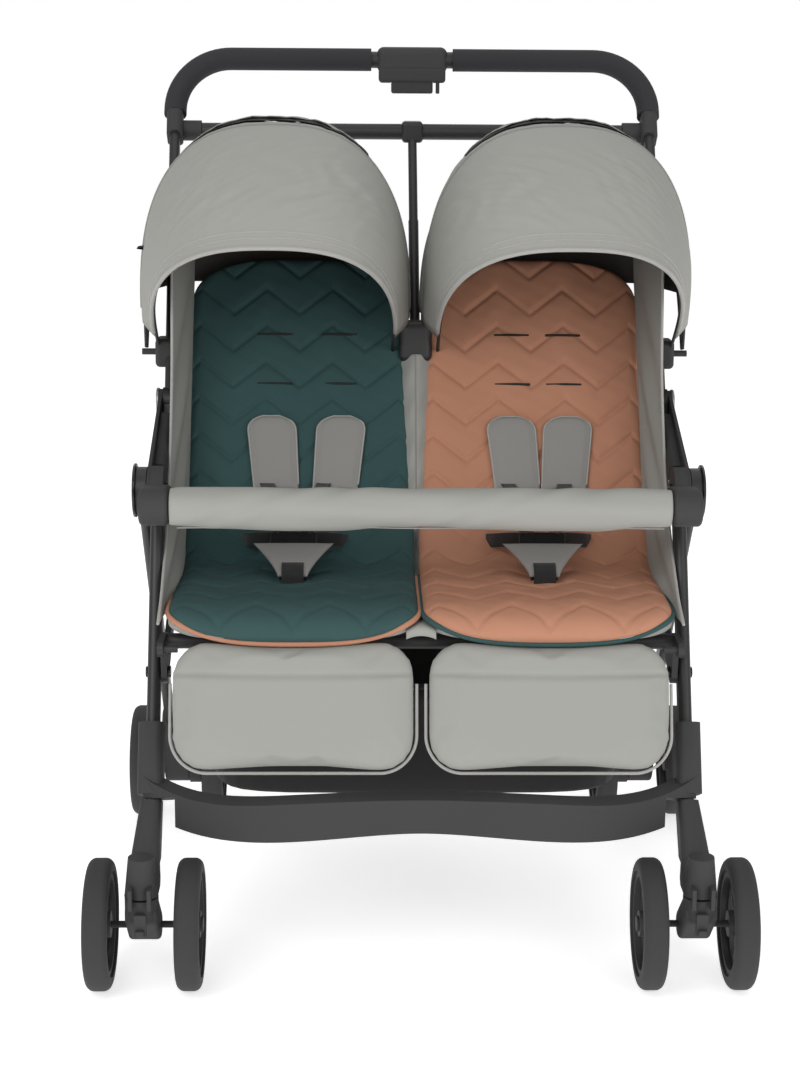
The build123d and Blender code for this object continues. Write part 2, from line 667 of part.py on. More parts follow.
build()
os.makedirs("parts", exist_ok=True)
for node, piece in PIECES.items():
    export_step(piece, f"parts/{node}.step")
everything = Compound(children=list(PIECES.values())).bounding_box()
print(len(PIECES), "nodes;", everything.size, everything.min, everything.max)
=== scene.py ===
"""Twin side-by-side folding stroller: fabric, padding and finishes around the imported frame."""
import json
import logging
import math
from dataclasses import dataclass
from enum import Enum
from typing import Iterable, Sequence

import bmesh
import bpy
import numpy as np
from mathutils import Euler, Matrix, Vector

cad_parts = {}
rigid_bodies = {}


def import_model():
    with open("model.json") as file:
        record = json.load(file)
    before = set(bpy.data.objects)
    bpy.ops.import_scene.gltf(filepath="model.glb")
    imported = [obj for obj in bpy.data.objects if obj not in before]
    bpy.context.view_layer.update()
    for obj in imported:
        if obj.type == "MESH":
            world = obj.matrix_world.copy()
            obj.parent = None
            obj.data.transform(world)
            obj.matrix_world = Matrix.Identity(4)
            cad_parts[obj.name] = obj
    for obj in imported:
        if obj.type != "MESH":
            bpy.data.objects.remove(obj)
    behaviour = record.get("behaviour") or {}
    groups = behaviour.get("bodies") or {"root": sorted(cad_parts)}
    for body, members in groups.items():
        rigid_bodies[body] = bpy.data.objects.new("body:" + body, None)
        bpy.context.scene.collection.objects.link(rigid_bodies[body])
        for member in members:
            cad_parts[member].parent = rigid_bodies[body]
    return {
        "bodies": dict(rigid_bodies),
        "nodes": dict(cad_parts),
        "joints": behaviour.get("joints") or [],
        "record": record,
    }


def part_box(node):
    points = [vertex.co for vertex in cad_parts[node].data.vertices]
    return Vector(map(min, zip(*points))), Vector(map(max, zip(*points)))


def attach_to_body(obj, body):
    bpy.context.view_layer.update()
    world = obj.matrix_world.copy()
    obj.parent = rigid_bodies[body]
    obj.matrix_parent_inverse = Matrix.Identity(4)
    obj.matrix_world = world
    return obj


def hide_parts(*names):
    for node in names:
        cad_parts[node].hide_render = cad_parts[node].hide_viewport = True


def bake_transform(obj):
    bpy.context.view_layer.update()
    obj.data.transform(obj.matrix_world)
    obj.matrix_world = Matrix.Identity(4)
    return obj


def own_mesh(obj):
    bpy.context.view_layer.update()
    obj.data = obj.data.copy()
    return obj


LOG = logging.getLogger("stroller")
SIDES = {"left": -1.0, "right": 1.0}
Colour = tuple[float, float, float]

# Side-view points of the frame, (y, z) in metres, that the soft goods are fitted to.
CANOPY_PIVOT = np.array((0.105, 0.665))
CREASE = np.array((-0.026, 0.428))
BACK_LEAN = math.radians(60.0)
LEG_REST_HINGE = np.array((-0.258, 0.383))
LEG_REST_DROP = math.radians(109.0)

CLOTH_THICKNESS = 0.0012
EDGE_ROLL = 0.016          # how far in from its edge a pad is rounded
FRONT_SHARE = 0.62         # share of a pad's thickness in front of its middle surface
LINE_SAMPLES = 400


# ---- shader node groups ----
class GroupBuilder:
    """Builds a shader node group with named inputs and outputs."""

    def __init__(self, name: str, inputs: dict[str, float | Colour], outputs: dict[str, str]) -> None:
        """Create the group and its sockets.

        Args:
            name: the group's name.
            inputs: default value of each input; a colour makes a colour socket.
            outputs: socket type of each output.
        """
        self.tree = bpy.data.node_groups.new(name, "ShaderNodeTree")
        for key, value in inputs.items():
            kind = "NodeSocketFloat" if isinstance(value, float) else "NodeSocketColor"
            socket = self.tree.interface.new_socket(key, in_out="INPUT", socket_type=kind)
            socket.default_value = value if isinstance(value, float) else (*value, 1.0)
        for key, kind in outputs.items():
            self.tree.interface.new_socket(key, in_out="OUTPUT", socket_type=kind)
        self.source = self.tree.nodes.new("NodeGroupInput")
        self.sink = self.tree.nodes.new("NodeGroupOutput")

    def node(self, kind: str, links: dict[str | int, object] | None = None,
             **settings: object) -> bpy.types.Node:
        """Add a node, set its properties and wire or fill its inputs.

        Args:
            kind: the node's type.
            links: input name to another node's output socket or a plain value.
            settings: properties of the node.

        Returns:
            The new node.
        """
        node = self.tree.nodes.new(kind)
        for key, value in settings.items():
            setattr(node, key, value)
        for key, value in (links or {}).items():
            if isinstance(value, bpy.types.NodeSocket):
                self.tree.links.new(value, node.inputs[key])
            else:
                node.inputs[key].default_value = value
        return node

    def math(self, operation: str, a: object, b: object = 0.0) -> bpy.types.NodeSocket:
        """Add a math node.

        Args:
            operation: what it works out.
            a: the first value or socket.
            b: the second one.

        Returns:
            Its output socket.
        """
        return self.node("ShaderNodeMath", {0: a, 1: b}, operation=operation).outputs[0]

    def finish(self, outputs: dict[str, object]) -> bpy.types.NodeTree:
        """Wire the group's outputs.

        Args:
            outputs: output name to the socket that feeds it.

        Returns:
            The group's tree.
        """
        for key, socket in outputs.items():
            self.tree.links.new(socket, self.sink.inputs[key])
        return self.tree


def weave_group() -> bpy.types.NodeTree:
    """Crossed yarns with melange colour and slow fading.

    Returns:
        A group that puts out a colour and a height.
    """
    g = GroupBuilder("Weave", {"Base": (0.5, 0.5, 0.5), "Fleck": (0.6, 0.6, 0.6), "Yarns": 900.0,
                               "Fleck Amount": 0.4, "Fade": 0.15},
                     {"Color": "NodeSocketColor", "Height": "NodeSocketFloat"})
    place = g.node("ShaderNodeTexCoord").outputs["Object"]
    waves = []
    for axis in ("X", "Y", "Z"):
        wave = g.node("ShaderNodeTexWave", {"Vector": place, "Scale": g.source.outputs["Yarns"],
                                            "Distortion": 0.6, "Detail": 1.0},
                      wave_type="BANDS", bands_direction=axis)
        waves.append(wave.outputs["Fac"])
    warp = g.math("MULTIPLY", waves[0], waves[1])
    weft = g.math("MULTIPLY", g.math("SUBTRACT", 1.0, waves[0]), waves[2])
    height = g.math("ADD", warp, weft)
    fleck = g.node("ShaderNodeTexNoise", {"Vector": place, "Scale": 1400.0, "Detail": 2.0}).outputs["Fac"]
    slow = g.node("ShaderNodeTexNoise", {"Vector": place, "Scale": 9.0, "Detail": 3.0}).outputs["Fac"]
    mask = g.math("MULTIPLY", g.math("GREATER_THAN", fleck, 0.52), g.source.outputs["Fleck Amount"])
    mixed = g.node("ShaderNodeMix", data_type="RGBA")
    # the colour sockets of a Mix node come after its float and vector ones
    g.tree.links.new(mask, mixed.inputs[0])
    for key, name in ((6, "Base"), (7, "Fleck")):
        g.tree.links.new(g.source.outputs[name], mixed.inputs[key])
    shade = g.math("MULTIPLY", slow, g.source.outputs["Fade"])
    tone = g.node("ShaderNodeHueSaturation", {"Color": mixed.outputs[2],
                                              "Value": g.math("ADD", shade, 0.92)})
    return g.finish({"Color": tone.outputs["Color"], "Height": height})


def grain_group() -> bpy.types.NodeTree:
    """Fine moulded or sprayed grain with slow tone change.

    Returns:
        A group that puts out a colour, a roughness and a height.
    """
    g = GroupBuilder("Grain", {"Base": (0.03, 0.03, 0.03), "Scale": 900.0, "Roughness": 0.5,
                               "Spread": 0.1},
                     {"Color": "NodeSocketColor", "Roughness": "NodeSocketFloat",
                      "Height": "NodeSocketFloat"})
    place = g.node("ShaderNodeTexCoord").outputs["Object"]
    fine = g.node("ShaderNodeTexNoise", {"Vector": place, "Scale": g.source.outputs["Scale"],
                                         "Detail": 3.0}).outputs["Fac"]
    slow = g.node("ShaderNodeTexNoise", {"Vector": place, "Scale": 14.0, "Detail": 4.0}).outputs["Fac"]
    swing = g.math("MULTIPLY", g.math("SUBTRACT", slow, 0.5), g.source.outputs["Spread"])
    rough = g.math("ADD", g.source.outputs["Roughness"], swing)
    tone = g.node("ShaderNodeHueSaturation", {"Color": g.source.outputs["Base"],
                                              "Value": g.math("ADD", slow, 0.5)})
    return g.finish({"Color": tone.outputs["Color"], "Roughness": rough, "Height": fine})


GROUPS: dict[str, bpy.types.NodeTree] = {}


def group(name: str) -> bpy.types.NodeTree:
    """The node group of a name, built the first time it is asked for.

    Args:
        name: Weave or Grain.

    Returns:
        The group's tree.
    """
    if name not in GROUPS:
        GROUPS[name] = {"Weave": weave_group, "Grain": grain_group}[name]()
    return GROUPS[name]


# ---- finishes ----
def fill_inputs(node: bpy.types.Node, values: dict[str, object]) -> None:
    """Set inputs of a node to plain values.

    Args:
        node: the node.
        values: input name to its value.
    """
    for key, value in values.items():
        node.inputs[key].default_value = value


class Finish:
    """A finish that makes its Blender material once."""

    name: str

    def material(self) -> bpy.types.Material:
        """The finish's material, made on first use."""
        found = bpy.data.materials.get(self.name)
        if found is None:
            found = bpy.data.materials.new(self.name)
            found.use_nodes = True
            self.dress(found.node_tree, found.node_tree.nodes["Principled BSDF"])
        return found

    def dress(self, tree: bpy.types.NodeTree, shader: bpy.types.Node) -> None:
        """Wire the material's own nodes.

        Args:
            tree: the material's tree.
            shader: its Principled BSDF.
        """
        raise NotImplementedError

    def bump(self, tree: bpy.types.NodeTree, shader: bpy.types.Node, height: object,
             strength: float, distance: float) -> None:
        """Feed a height into the shader's normal.

        Args:
            tree: the material's tree.
            shader: its Principled BSDF.
            height: the socket that holds the height.
            strength: the bump's strength.
            distance: its depth in metres.
        """
        node = tree.nodes.new("ShaderNodeBump")
        fill_inputs(node, {"Strength": strength, "Distance": distance})
        tree.links.new(height, node.inputs["Height"])
        tree.links.new(node.outputs["Normal"], shader.inputs["Normal"])


@dataclass(frozen=True)
class Cloth(Finish):
    """Woven polyester with melange yarns and a soft sheen."""

    name: str
    base: Colour
    fleck: Colour
    yarns: float = 900.0
    fleck_amount: float = 0.4
    sheen: float = 0.25
    roughness: float = 0.85

    def dress(self, tree: bpy.types.NodeTree, shader: bpy.types.Node) -> None:
        """Wire the weave group into the shader.

        Args:
            tree: the material's tree.
            shader: its Principled BSDF.
        """
        weave = tree.nodes.new("ShaderNodeGroup")
        weave.node_tree = group("Weave")
        fill_inputs(weave, {"Base": (*self.base, 1.0), "Fleck": (*self.fleck, 1.0),
                            "Yarns": self.yarns, "Fleck Amount": self.fleck_amount})
        tree.links.new(weave.outputs["Color"], shader.inputs["Base Color"])
        fill_inputs(shader, {"Roughness": self.roughness, "Sheen Weight": self.sheen,
                             "Specular IOR Level": 0.25})
        self.bump(tree, shader, weave.outputs["Height"], 0.35, 0.0004)


@dataclass(frozen=True)
class Moulding(Finish):
    """Moulded plastic, rubber, foam or powder coat, told apart by grain and gloss."""

    name: str
    base: Colour
    roughness: float = 0.5
    grain: float = 900.0
    depth: float = 0.0002
    metallic: float = 0.0
    coat: float = 0.0
    specular: float = 0.5

    def dress(self, tree: bpy.types.NodeTree, shader: bpy.types.Node) -> None:
        """Wire the grain group into the shader.

        Args:
            tree: the material's tree.
            shader: its Principled BSDF.
        """
        grain = tree.nodes.new("ShaderNodeGroup")
        grain.node_tree = group("Grain")
        fill_inputs(grain, {"Base": (*self.base, 1.0), "Scale": self.grain,
                            "Roughness": self.roughness})
        tree.links.new(grain.outputs["Color"], shader.inputs["Base Color"])
        tree.links.new(grain.outputs["Roughness"], shader.inputs["Roughness"])
        fill_inputs(shader, {"Metallic": self.metallic, "Coat Weight": self.coat,
                             "Specular IOR Level": self.specular})
        self.bump(tree, shader, grain.outputs["Height"], 0.4, self.depth)


GREY = Cloth("grey_fabric", (0.235, 0.229, 0.211), (0.295, 0.288, 0.268))
LIGHT_GREY = Cloth("light_grey_fabric", (0.37, 0.362, 0.34), (0.44, 0.43, 0.41))
PAD_GREY = Cloth("pad_fabric", (0.20, 0.195, 0.18), (0.25, 0.243, 0.225))
LINING = Cloth("lining_fabric", (0.125, 0.112, 0.10), (0.16, 0.145, 0.13))
TEAL = Cloth("teal_fabric", (0.020, 0.060, 0.060), (0.030, 0.080, 0.080), fleck_amount=0.35, sheen=0.18)
TERRACOTTA = Cloth("terracotta_fabric", (0.42, 0.195, 0.125), (0.50, 0.25, 0.17), fleck_amount=0.35)
BLACK_CLOTH = Cloth("black_fabric", (0.013, 0.013, 0.014), (0.03, 0.03, 0.032), yarns=1200.0)
WEBBING = Cloth("webbing", (0.012, 0.012, 0.013), (0.03, 0.03, 0.03), yarns=600.0, roughness=0.7)
PLASTIC = Moulding("plastic", (0.011, 0.011, 0.012), 0.5, 1100.0, 0.00025, specular=0.16)
GLOSS = Moulding("gloss_black", (0.008, 0.008, 0.009), 0.42, 300.0, 0.00002, coat=0.08, specular=0.2)
POWDER = Moulding("frame", (0.010, 0.010, 0.011), 0.38, 1600.0, 0.0001, specular=0.28)
FOAM = Moulding("foam", (0.012, 0.012, 0.0125), 0.75, 700.0, 0.0006, specular=0.25)
TYRE = Moulding("tyre", (0.019, 0.019, 0.020), 0.70, 500.0, 0.0004, specular=0.25)
STEEL = Moulding("pin", (0.4, 0.4, 0.41), 0.3, 1500.0, 0.00004, metallic=1.0)

NODE_FINISH = {"frame": POWDER, "pin": STEEL, "plastic": PLASTIC, "gloss_black": GLOSS,
               "foam": FOAM, "tyre": TYRE, "grey_fabric": GREY, "pad_fabric": PAD_GREY,
               "black_fabric": BLACK_CLOTH, "teal_fabric": TEAL, "terracotta_fabric": TERRACOTTA}


# ---- mesh helpers ----
def new_piece(name: str, verts: np.ndarray, faces: Sequence[Sequence[int]], finish: Finish,
              smooth: bool = True) -> bpy.types.Object:
    """Make a mesh object with one material.

    Args:
        name: the piece's name.
        verts: its points, in metres, in the row frame.
        faces: its faces.
        finish: its finish.
        smooth: whether its faces are shaded smooth.

    Returns:
        The new object.
    """
    mesh = bpy.data.meshes.new(name)
    mesh.from_pydata([tuple(v) for v in verts], [], [tuple(f) for f in faces])
    bm = bmesh.new()
    bm.from_mesh(mesh)
    bmesh.ops.remove_doubles(bm, verts=bm.verts, dist=1e-6)
    bmesh.ops.dissolve_degenerate(bm, edges=bm.edges, dist=1e-7)
    bmesh.ops.recalc_face_normals(bm, faces=bm.faces)
    bm.to_mesh(mesh)
    bm.free()
    for polygon in mesh.polygons:
        polygon.use_smooth = smooth
    obj = bpy.data.objects.new(name, mesh)
    bpy.context.scene.collection.objects.link(obj)
    mesh.materials.append(finish.material())
    return obj


def grid_faces(rows: int, columns: int, wrap: bool = False) -> list[tuple[int, ...]]:
    """Faces of a grid of points that are held row by row.

    Args:
        rows: how many rows.
        columns: how many points in each.
        wrap: whether the last column joins the first.

    Returns:
        The faces.
    """
    faces = []
    last = columns if wrap else columns - 1
    for i in range(rows - 1):
        for j in range(last):
            k = (j + 1) % columns
            a, b = i * columns, (i + 1) * columns
            faces.append((a + j, a + k, b + k, b + j))
    return faces


def smooth_line(points: Iterable[Sequence[float]], count: int) -> np.ndarray:
    """A Catmull-Rom line through the points, sampled evenly along its length.

    Args:
        points: the points the line passes.
        count: how many samples.

    Returns:
        An array of count points.
    """
    p = np.array([tuple(q) for q in points], float)
    p = np.vstack([2 * p[0] - p[1], p, 2 * p[-1] - p[-2]])
    t = np.linspace(0, 1, 24, endpoint=False)[:, None]
    runs = []
    for i in range(1, len(p) - 2):
        a, b, c, d = p[i - 1:i + 3]
        runs.append(0.5 * (2 * b + (c - a) * t + (2 * a - 5 * b + 4 * c - d) * t ** 2
                           + (3 * b - a - 3 * c + d) * t ** 3))
    line = np.vstack([*runs, p[-2:-1]])
    reach = np.concatenate([[0], np.cumsum(np.linalg.norm(np.diff(line, axis=0), axis=1))])
    wanted = np.linspace(0, reach[-1], count)
    return np.column_stack([np.interp(wanted, reach, line[:, k]) for k in range(p.shape[1])])


def tube(name: str, line: np.ndarray, radius: float, finish: Finish,
         sides: int = 8) -> bpy.types.Object:
    """A closed tube along a line of points.

    Args:
        name: the piece's name.
        line: the points.
        radius: the tube's radius in metres.
        finish: its finish.
        sides: how many sides it has.

    Returns:
        The new object.
    """
    tangent = np.gradient(line, axis=0)
    tangent /= np.linalg.norm(tangent, axis=1)[:, None]
    up = np.array((0.0, 0.0, 1.0)) if abs(tangent[0][2]) < 0.9 else np.array((0.0, 1.0, 0.0))
    verts = []
    for point, along in zip(line, tangent):
        side = np.cross(along, up)
        side /= np.linalg.norm(side)
        up = np.cross(side, along)
        for k in range(sides):
            a = 2 * math.pi * k / sides
            verts.append(point + radius * (math.cos(a) * side + math.sin(a) * up))
    faces = grid_faces(len(line), sides, wrap=True)
    faces += [tuple(range(sides))[::-1], tuple(range(len(verts) - sides, len(verts)))]
    return new_piece(name, np.array(verts), faces, finish)


def add_thickness(obj: bpy.types.Object, thickness: float, offset: float = -1.0,
                  lining: Finish | None = None) -> None:
    """Give a sheet its thickness.

    Args:
        obj: the sheet.
        thickness: in metres.
        offset: -1 grows to one side of the sheet, 0 to both.
        lining: the finish of the added face, if it isn't the sheet's own.
    """
    modifier = obj.modifiers.new("thickness", "SOLIDIFY")
    modifier.thickness = thickness
    modifier.offset = offset
    if lining:
        obj.data.materials.append(lining.material())
        modifier.material_offset = 1
    apply_modifiers(obj)


def attach(obj: bpy.types.Object, body: str) -> None:
    """Ride a piece on a body.

    Args:
        obj: the piece.
        body: the body that it moves with.
    """
    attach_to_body(obj, body)


def apply_modifiers(obj: bpy.types.Object) -> None:
    """Replace an object's mesh with its evaluated one.

    Args:
        obj: the object, whose modifiers are then cleared.
    """
    graph = bpy.context.evaluated_depsgraph_get()
    mesh = bpy.data.meshes.new_from_object(obj.evaluated_get(graph))
    obj.modifiers.clear()
    old, obj.data = obj.data, mesh
    bpy.data.meshes.remove(old)


def new_sheet(name: str, points: np.ndarray, finish: Finish, body: str,
              offset: float = 0.0) -> tuple[bpy.types.Object, float]:
    """A sheet of cloth from a grid of points.

    Args:
        name: the piece's name.
        points: its points, by row and column.
        finish: its finish.
        body: the body that it rides on.
        offset: -1 thickens it to one side, 0 to both.

    Returns:
        The sheet and its one-sided area.
    """
    obj = new_piece(name, points.reshape(-1, 3), grid_faces(*points.shape[:2]), finish)
    area = sum(polygon.area for polygon in obj.data.polygons)
    add_thickness(obj, CLOTH_THICKNESS, offset)
    attach(obj, body)
    return obj, area


def closed_pad(name: str, front: np.ndarray, back: np.ndarray, finish: Finish) -> bpy.types.Object:
    """A closed pad from the grids of its front and back points, which meet at the edge.

    Args:
        name: the piece's name.
        front: the front's points, by row and column.
        back: the back's points.
        finish: its finish.

    Returns:
        The new object.
    """
    rows, columns = front.shape[:2]
    count = rows * columns
    faces = grid_faces(rows, columns)
    faces += [tuple(count + k for k in face[::-1]) for face in grid_faces(rows, columns)]
    return new_piece(name, np.vstack([front.reshape(-1, 3), back.reshape(-1, 3)]), faces, finish)


def wrinkle(x: np.ndarray, y: np.ndarray, seed: float) -> np.ndarray:
    """Soft crossing waves that stand for slack in cloth.

    Args:
        x: place one way.
        y: place the other way.
        seed: shifts the waves.

    Returns:
        Heights between -1 and 1.
    """
    a = np.sin(x * 31 + 2.1 * np.sin(y * 17 + seed)) * np.sin(y * 23 + 1.7 * np.sin(x * 13 + 2 * seed))
    b = np.sin(x * 67 + y * 41 + seed * 3) * np.sin(y * 59 - x * 19 + seed)
    return 0.7 * a + 0.3 * b


def puff(obj: bpy.types.Object, voxel: float, pressure: float, cap: float) -> None:
    """Swell a closed pad by a short cloth simulation under pressure.

    Args:
        obj: the closed mesh.
        voxel: remesh size in metres.
        pressure: the cloth's inner pressure.
        cap: how far a point may move, in metres.
    """
    remesh = obj.modifiers.new("remesh", "REMESH")
    remesh.mode = "VOXEL"
    remesh.voxel_size = voxel
    apply_modifiers(obj)
    count = len(obj.data.vertices)
    before = np.empty(count * 3)
    obj.data.vertices.foreach_get("co", before)
    cloth = obj.modifiers.new("cloth", "CLOTH")
    cloth.settings.use_pressure = True
    cloth.settings.uniform_pressure_force = pressure
    cloth.settings.effector_weights.gravity = 0.0
    cloth.settings.quality = 4
    cloth.point_cache.frame_start = 1
    cloth.point_cache.frame_end = 20
    for frame in range(1, 15):
        bpy.context.scene.frame_set(frame)
    apply_modifiers(obj)
    bpy.context.scene.frame_set(1)
    after = np.empty(count * 3)
    obj.data.vertices.foreach_get("co", after)
    move = (after - before).reshape(-1, 3)
    size = np.linalg.norm(move, axis=1)
    move *= np.minimum(1, cap / np.maximum(size, 1e-9))[:, None]
    obj.data.vertices.foreach_set("co", (before.reshape(-1, 3) + move).ravel())
    subdivide = obj.modifiers.new("subdivide", "SUBSURF")
    subdivide.levels = subdivide.render_levels = 1
    apply_modifiers(obj)
    for polygon in obj.data.polygons:
        polygon.use_smooth = True


# ---- padded pieces ----
class Quilting(Enum):
    """How a pad is sewn through."""

    PLAIN = "plain"
    CHEVRON = "chevron"
    SEAM = "seam"


@dataclass
class Pad:
    """A pad whose middle line is a side-view curve and whose width runs across the stroller."""

    name: str
    body: str
    path: list[tuple[float, float]]
    sides: tuple[float, float]
    thickness: float
    finish: Finish
    quilting: Quilting = Quilting.PLAIN
    arch: float = 0.0
    nose: float = 0.0
    corner: float = 0.03
    stands_for: tuple[str, ...] = ()
    slot: str = "grey_fabric"
    rows: int = 150
    columns: int = 110
    fill: float = 0.5
    swell: bool = False
    groove: float = 0.0022
    row_step: float = 0.049
    zigzag: float = 0.083

    def width_share(self, v: np.ndarray) -> np.ndarray:
        """Half-width share along the path, with its rounded or arched ends.

        Args:
            v: distances along the path, in metres.

        Returns:
            The shares, from 0 to 1.
        """
        ends = []
        for distance, rise in ((v, self.nose), (self.length - v, self.arch)):
            if rise:
                ends.append(np.maximum(1 - np.clip(1 - distance / rise, 0, 1) ** 2.8, 0) ** (1 / 2.8))
            else:
                inside = np.clip(1 - distance / self.corner, 0, 1)
                ends.append(1 - self.corner / self.half * (1 - np.sqrt(1 - inside ** 2)))
        return np.minimum(*ends)

    def edge_line(self, reach: float, drop: float, beyond: float) -> np.ndarray:
        """Points along the pad's edge, round its start.

        Args:
            reach: how far up each side the line goes.
            drop: how far behind the middle surface it lies.
            beyond: how far outside the edge it lies.

        Returns:
            The points, from one side to the other.
        """
        line = smooth_line(self.path, LINE_SAMPLES)
        tangent = np.gradient(line, axis=0)
        tangent /= np.linalg.norm(tangent, axis=1)[:, None]
        v = np.linspace(0, self.length, LINE_SAMPLES)
        up = np.linspace(0, 1, 60) ** 2 * reach
        half = self.width_share(up) * self.half + beyond
        start = np.clip(1 - up / 0.03, 0, 1) * beyond
        y = np.interp(up, v, line[:, 0] + drop * tangent[:, 1]) - start * tangent[0, 0]
        z = np.interp(up, v, line[:, 1] - drop * tangent[:, 0]) - start * tangent[0, 1]
        side = np.column_stack([np.maximum(half, 0), y, z])
        mirrored = side[::-1] * (-1, 1, 1)
        return np.vstack([mirrored, side[1:]]) + (sum(self.sides) / 2, 0, 0)

    @property
    def half(self) -> float:
        """Half the pad's width."""
        return abs(self.sides[1] - self.sides[0]) / 2

    @property
    def length(self) -> float:
        """The middle line's length."""
        line = smooth_line(self.path, self.rows)
        return float(np.linalg.norm(np.diff(line, axis=0), axis=1).sum())

    def grooves(self, u: np.ndarray, v: np.ndarray) -> np.ndarray:
        """Depth of the sewn lines, less the puff between them.

        Args:
            u: distances from the middle, across.
            v: distances along the path.

        Returns:
            The depths, 1 at the bottom of a plain line.
        """
        if self.quilting is Quilting.CHEVRON:
            wave = np.abs(((u / self.zigzag) % 1) * 2 - 1) * 0.034
            place = ((v + wave) / self.row_step) % 1
            distance = np.minimum(place, 1 - place) * self.row_step
            return np.exp(-(distance / 0.0042) ** 2) - 0.55 * np.sin(np.pi * place) ** 0.8
        if self.quilting is Quilting.SEAM:
            line = self.length - 0.038 - 0.003 * np.cos(u / self.half * 1.5)
            return 1.6 * np.exp(-((v - line) / 0.0026) ** 2)
        return np.zeros_like(u)

    def build(self) -> bpy.types.Object:
        """Build, swell, quilt and place the pad.

        Returns:
            The finished piece.
        """
        line = smooth_line(self.path, self.rows)
        if self.arch or self.nose:
            # rows crowd towards the arched ends, where the width changes fast
            s = np.linspace(0, 1, self.rows)
            s = 1 - (1 - s) ** 1.5 if self.arch else s ** 1.6
            dense = smooth_line(self.path, LINE_SAMPLES)
            even = np.linspace(0, 1, LINE_SAMPLES)
            line = np.column_stack([np.interp(s, even, dense[:, k]) for k in (0, 1)])
        tangent = np.gradient(line, axis=0)
        tangent /= np.linalg.norm(tangent, axis=1)[:, None]
        normal = np.column_stack([-tangent[:, 1], tangent[:, 0]])
        v = np.concatenate([[0], np.cumsum(np.linalg.norm(np.diff(line, axis=0), axis=1))])
        share = self.width_share(v)
        centre = sum(self.sides) / 2
        a = np.sin(np.linspace(-math.pi / 2, math.pi / 2, self.columns))
        u = share[:, None] * a[None, :] * self.half
        along = np.clip(np.minimum(v, v[-1] - v) / EDGE_ROLL, 0, 1)
        edge_v = np.sqrt(np.maximum(1 - (1 - along) ** 2, 0))[:, None]
        gap = (share[:, None] * self.half - np.abs(u)) / EDGE_ROLL
        edge_u = np.sqrt(np.maximum(1 - (1 - np.clip(gap, 0, 1)) ** 2, 0))
        roll = edge_v * edge_u
        crown = 1 - 0.22 * np.abs(a[None, :]) ** 3 - 0.1 * np.abs(2 * v[:, None] / v[-1] - 1) ** 3
        front = roll * crown * self.thickness * FRONT_SHARE
        back = -roll * self.thickness * (1 - FRONT_SHARE)
        vv = np.repeat(v[:, None], self.columns, 1)
        if not self.swell:
            front = front - self.groove * roll * self.grooves(u, vv)
            front = front + 0.0009 * roll * wrinkle(u * 3, vv * 3, self.half * 40)
        verts = []
        for depth in (front, back):
            y = line[:, 0][:, None] + normal[:, 0][:, None] * depth
            z = line[:, 1][:, None] + normal[:, 1][:, None] * depth
            verts.append(np.stack([centre + u, y, z], -1))
        obj = closed_pad(self.name, *verts, self.finish)
        if self.swell:
            puff(obj, 0.006, 3.0, 0.006)
            self.quilt(obj, line, normal, v, centre)
        attach(obj, self.body)
        if self.stands_for:
            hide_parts(*self.stands_for)
        return obj

    def quilt(self, obj: bpy.types.Object, line: np.ndarray, normal: np.ndarray, v: np.ndarray,
              centre: float) -> None:
        """Press the sewn lines into a pad that has been swollen.

        Args:
            obj: the pad.
            line: its middle line.
            normal: directions out of the line.
            v: distances along it.
            centre: the X of its middle.
        """
        co = np.array([vertex.co for vertex in obj.data.vertices], float)
        near = np.argmin(((co[:, None, 1:] - line[None, ::4]) ** 2).sum(-1), axis=1) * 4
        depth = ((co[:, 1:] - line[near]) * normal[near]).sum(1)
        along = v[near] + ((co[:, 1:] - line[near])
                           * np.column_stack([normal[near, 1], -normal[near, 0]])).sum(1)
        press = self.grooves(co[:, 0] - centre, along) * self.groove * (depth > 0)
        co[:, 1:] -= normal[near] * press[:, None]
        obj.data.vertices.foreach_set("co", co.ravel())


def back_point(up: float, out: float) -> tuple[float, float]:
    """A side-view point placed by the backrest.

    Args:
        up: its height up the backrest from the crease.
        out: its distance in front.

    Returns:
        Its Y and Z.
    """
    c, s = math.cos(BACK_LEAN), math.sin(BACK_LEAN)
    return (CREASE[0] + up * c - out * s, CREASE[1] + up * s + out * c)


def leg_point(down: float, out: float) -> tuple[float, float]:
    """A side-view point placed by the leg rest.

    Args:
        down: its distance down from the hinge.
        out: its distance in front.

    Returns:
        Its Y and Z.
    """
    c, s = math.cos(-LEG_REST_DROP), math.sin(-LEG_REST_DROP)
    return (LEG_REST_HINGE[0] + down * c + out * s, LEG_REST_HINGE[1] + down * s - out * c)


@dataclass
class Sided:
    """What each sub-assembly of one seat shares."""

    side: str

    @property
    def sign(self) -> float:
        """-1 on the left, 1 on the right."""
        return SIDES[self.side]


